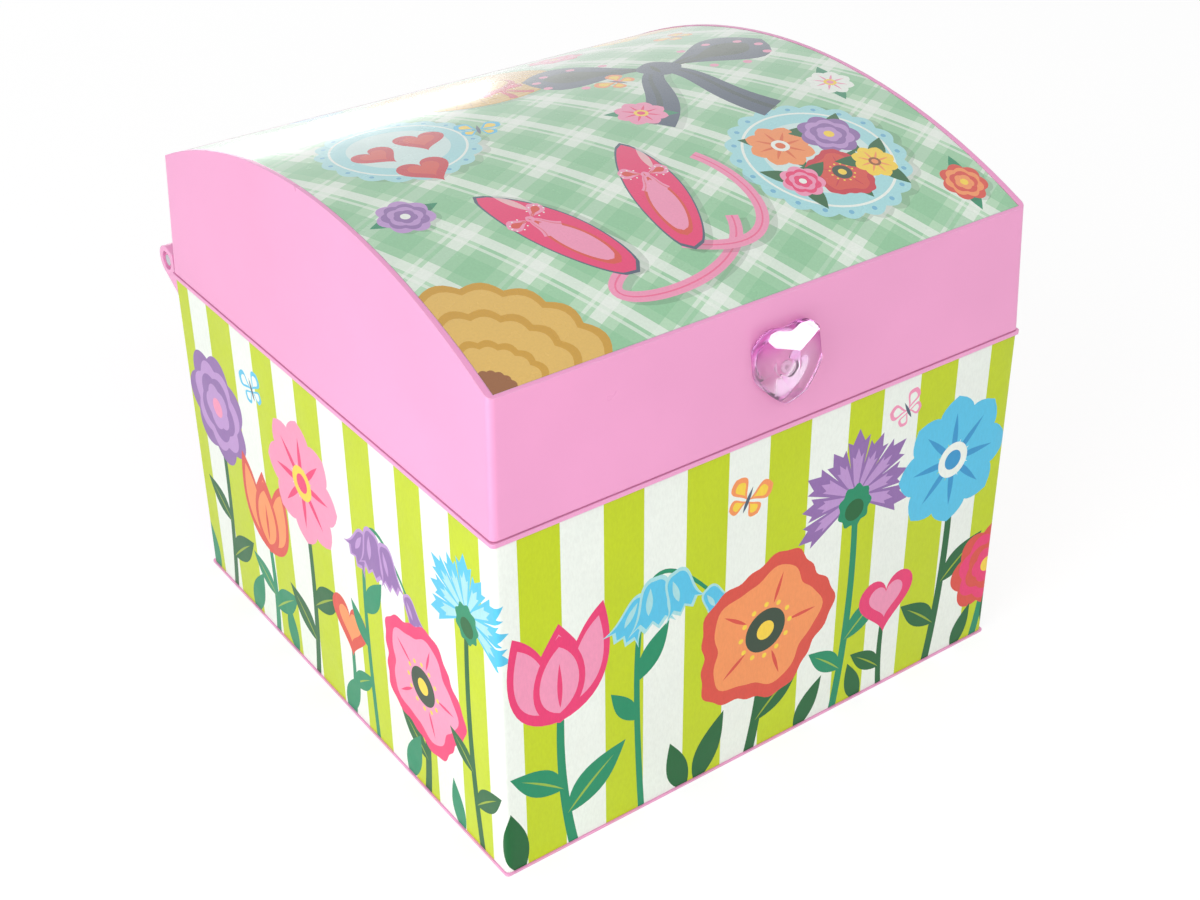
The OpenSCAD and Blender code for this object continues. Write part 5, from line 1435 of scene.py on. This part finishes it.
def painted(points):
    """Base colours of the moulding by place: skin, tights, shoes, ribbons, bodice, hair, base."""
    x, y, z = points.T
    r = np.hypot(x, y)
    toe, heel = np.array([-0.95, -1.6, 9.9]), np.array([-3.0, -1.4, 11.9])
    along = np.clip((points - toe) @ (heel - toe) / ((heel - toe) @ (heel - toe)), 0, 1)
    foot = np.linalg.norm(points - toe - along[:, None] * (heel - toe), axis=1) - (0.42 + 0.33 * along)
    shin = np.hypot(x - 0.05, y - 0.15) - np.interp(z, (8.2, 11.6), (1.22, 1.0))
    neckline = 30.35 - 0.6 * np.exp(-(x / 0.6) ** 2) * np.clip(-y, 0, 1)
    lacing = abs(z - 5.5 - 0.5 * np.sign(y) * x)
    hairline = np.maximum(y - 0.35 + 1.15 * (z - 36.6), z - 38.75)
    hair = inside(hairline, z - 36.2, 42 - z, 2.7 - abs(x), y + 2.5)
    satin, bodice = srgb(240, 132, 178), srgb(238, 110, 172)
    colour = np.ones((len(points), 1)) * srgb(247, 204, 176)
    for share, ink in ((inside(21.6 - z), srgb(252, 226, 218)),
                       (inside(4.3 - z), satin),
                       (inside(shin - foot, 2.7 - np.linalg.norm(points - toe, axis=1)), satin),
                       (inside(0.28 - lacing, 6.6 - z, z - 4, 1.6 - r), satin),
                       (inside(z - 20.6, neckline - z, np.where(z > 28, 2.7, 4) - abs(x)), bodice),
                       (inside(z - 30, 32.3 - z, 0.3 - abs(abs(x) - 1.75)), bodice),
                       (hair, srgb(104, 60, 36)),
                       (inside(1.65 - z), srgb(250, 214, 232))):
        colour += (np.array(ink) - colour) * share[:, None]
    return colour, hair


paint, hair = painted(doll_points)
doll = put_mesh("dancer_doll", doll_points + STAGE, doll_faces)
rgba = np.column_stack([paint, np.ones(len(paint))]).astype(np.float32)
doll.data.attributes.new("paint", "FLOAT_COLOR", "POINT").data.foreach_set("color", rgba.ravel())
doll.data.attributes.new("hair", "FLOAT", "POINT").data.foreach_set("value", hair.astype(np.float32))

# %% The doll's paint and face
def ellipse(tree, place, middle, radii, both_sides=False):
    """1 inside an ellipse drawn on the front of the head in x and z, 0 outside it."""
    x0, z0 = np.array(middle) * MM
    axes = add_node(tree, "SeparateXYZ", Vector=place).outputs
    across = maths(tree, "ABSOLUTE", axes[0]) if both_sides else axes[0]
    spot = add_node(tree, "CombineXYZ", X=across, Z=axes[2])
    off = add_node(tree, "VectorMath", {"operation": "SUBTRACT"}, s0=spot.outputs[0], s1=(x0, 0, z0))
    share = add_node(tree, "VectorMath", {"operation": "DIVIDE"}, s0=off.outputs[0],
                     s1=(radii[0] * MM, 1, radii[1] * MM))
    size = add_node(tree, "VectorMath", {"operation": "LENGTH"}, s0=share.outputs[0])
    return between(tree, size.outputs["Value"], 1.0, 0.0, 0.85, 1.12)


doll_paint, tree, shader, place = new_finish("doll_paint")
colour = add_node(tree, "Attribute", {"attribute_name": "paint"}).outputs["Color"]
depth = add_node(tree, "SeparateXYZ", Vector=place).outputs[1]
front = between(tree, depth, 1.0, 0.0, (PODIUM_Y - 1.7) * MM, (PODIUM_Y - 1.3) * MM)
for middle, radii, ink, strength, both in (
        ((1.35, 36.1), (0.62, 0.5), srgb(244, 150, 150), 0.45, True),           # cheeks
        ((0.93, 37.08), (0.46, 0.25), srgb(255, 252, 248), 0.95, True),         # whites of the eyes
        ((0.93, 37.1), (0.21, 0.24), srgb(70, 92, 120), 1.0, True),
        ((0.93, 37.1), (0.1, 0.12), srgb(20, 18, 22), 1.0, True),
        ((0.95, 37.36), (0.46, 0.06), srgb(70, 44, 36), 0.85, True),            # lashes
        ((1.0, 37.95), (0.46, 0.06), srgb(120, 78, 54), 0.75, True),            # brows
        ((0.0, 35.52), (0.42, 0.17), srgb(214, 74, 92), 0.95, False)):          # lips
    mask = ellipse(tree, place, (middle[0], STAGE[2] + middle[1]), radii, both)
    mask = maths(tree, "MULTIPLY", maths(tree, "MULTIPLY", mask, front), strength)
    colour = blend_colours(tree, mask, colour, ink)
strands = noise(tree, place, 0.35, 3, (1, 0.25, 0.25))
on_hair = add_node(tree, "Attribute", {"attribute_name": "hair"}).outputs["Fac"]
combed = maths(tree, "MULTIPLY", strands, on_hair)
colour = blend_colours(tree, between(tree, combed, 0.0, 0.4, 0.3, 0.9), colour, srgb(150, 96, 60))
feed(tree, shader, Base_Color=colour, Normal=relief(tree, combed, 0.08),
     Roughness=uneven(tree, place, 3, 2, 0.26, 0.4), Subsurface_Weight=0.15,
     Subsurface_Radius=(1.0, 0.4, 0.3), Subsurface_Scale=0.8 * MM)
doll.data.materials.append(doll_paint)
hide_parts("dancer")
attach(doll, "dancer_spindle")

# %% [markdown]
# Her skirt is three rings of stiff net. Each was a straight strip, gathered along one edge, so
# that its outer edge is too long for its circle and goes into waves. Net is threads with holes
# between them: the finish crosses three sets of lines and lets the light through elsewhere. The
# gathered edge is drawn in to the oval of her hips.

# %% Tutu
TUTU_Z, TUTU_IN = 90.4, 3.15    # height of the gathered edge, and its radius
MESH_PITCH, NET_T = 0.42, 0.1   # from thread to thread, and a thread's thickness
net, tree, shader, place = new_finish("pink_net")
threads = 0.0
for degrees in (0, 60, 120):
    a = radians(degrees)
    along = add_node(tree, "VectorMath", {"operation": "DOT_PRODUCT"}, s0=place,
                     s1=(cos(a) / (MESH_PITCH * MM), sin(a) / (MESH_PITCH * MM), 0))
    line = between(tree, maths(tree, "PINGPONG", along.outputs["Value"], 0.5), 1.0, 0.0, 0.07, 0.14)
    threads = maths(tree, "MAXIMUM", threads, line)
cloudy = uneven(tree, place, 2, 2, 0.0, 1.0, 0.35, 0.65)
feed(tree, shader, Base_Color=blend_colours(tree, cloudy, srgb(250, 170, 208), srgb(255, 206, 228)),
     Alpha=between(tree, threads, 0.38, 1.0), Normal=relief(tree, threads, 0.05), Roughness=0.6,
     Sheen_Weight=0.4)


def net_ring(name, radius, z, waves, height, droop, start):
    """A ring of gathered net: its waves grow on the way out, on top of a droop that grows with the
    square of it."""
    around, out = 16 * waves, 9
    a = (start + np.arange(around) * TURN / around)[None]
    t = np.linspace(0, 1, out)[:, None]
    q = TUTU_IN + (radius - TUTU_IN) * t
    rise = height * t ** 1.6 * np.sin(waves * a) * (0.85 + 0.15 * np.sin(3 * a)) - droop * t ** 2
    swing = q * (1 + 0.012 * t * np.sin(waves * a + 1.2))
    oval = 0.78 + 0.22 * np.minimum(1, 2.2 * t)
    face = np.stack([swing * np.cos(a), swing * np.sin(a) * oval, z + rise], axis=-1).reshape(-1, 3)
    face = face + (0, STAGE[1], 0)
    ring = put_mesh(name, np.concatenate([face + (0, 0, NET_T), face]), sheet_quads(out, around))
    ring.data.materials.append(net)
    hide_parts("tutu")
    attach(ring, "dancer_spindle")


net_ring("net_ring_1", 14.0, TUTU_Z + 0.35, 18, 0.75, 0.9, 0.0)
net_ring("net_ring_2", 13.6, TUTU_Z - 0.1, 16, 0.8, 1.2, 0.4)
net_ring("net_ring_3", 13.7, TUTU_Z - 0.5, 14, 0.8, 1.35, 0.9)

# %% Sizes, and the end
low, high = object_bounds()
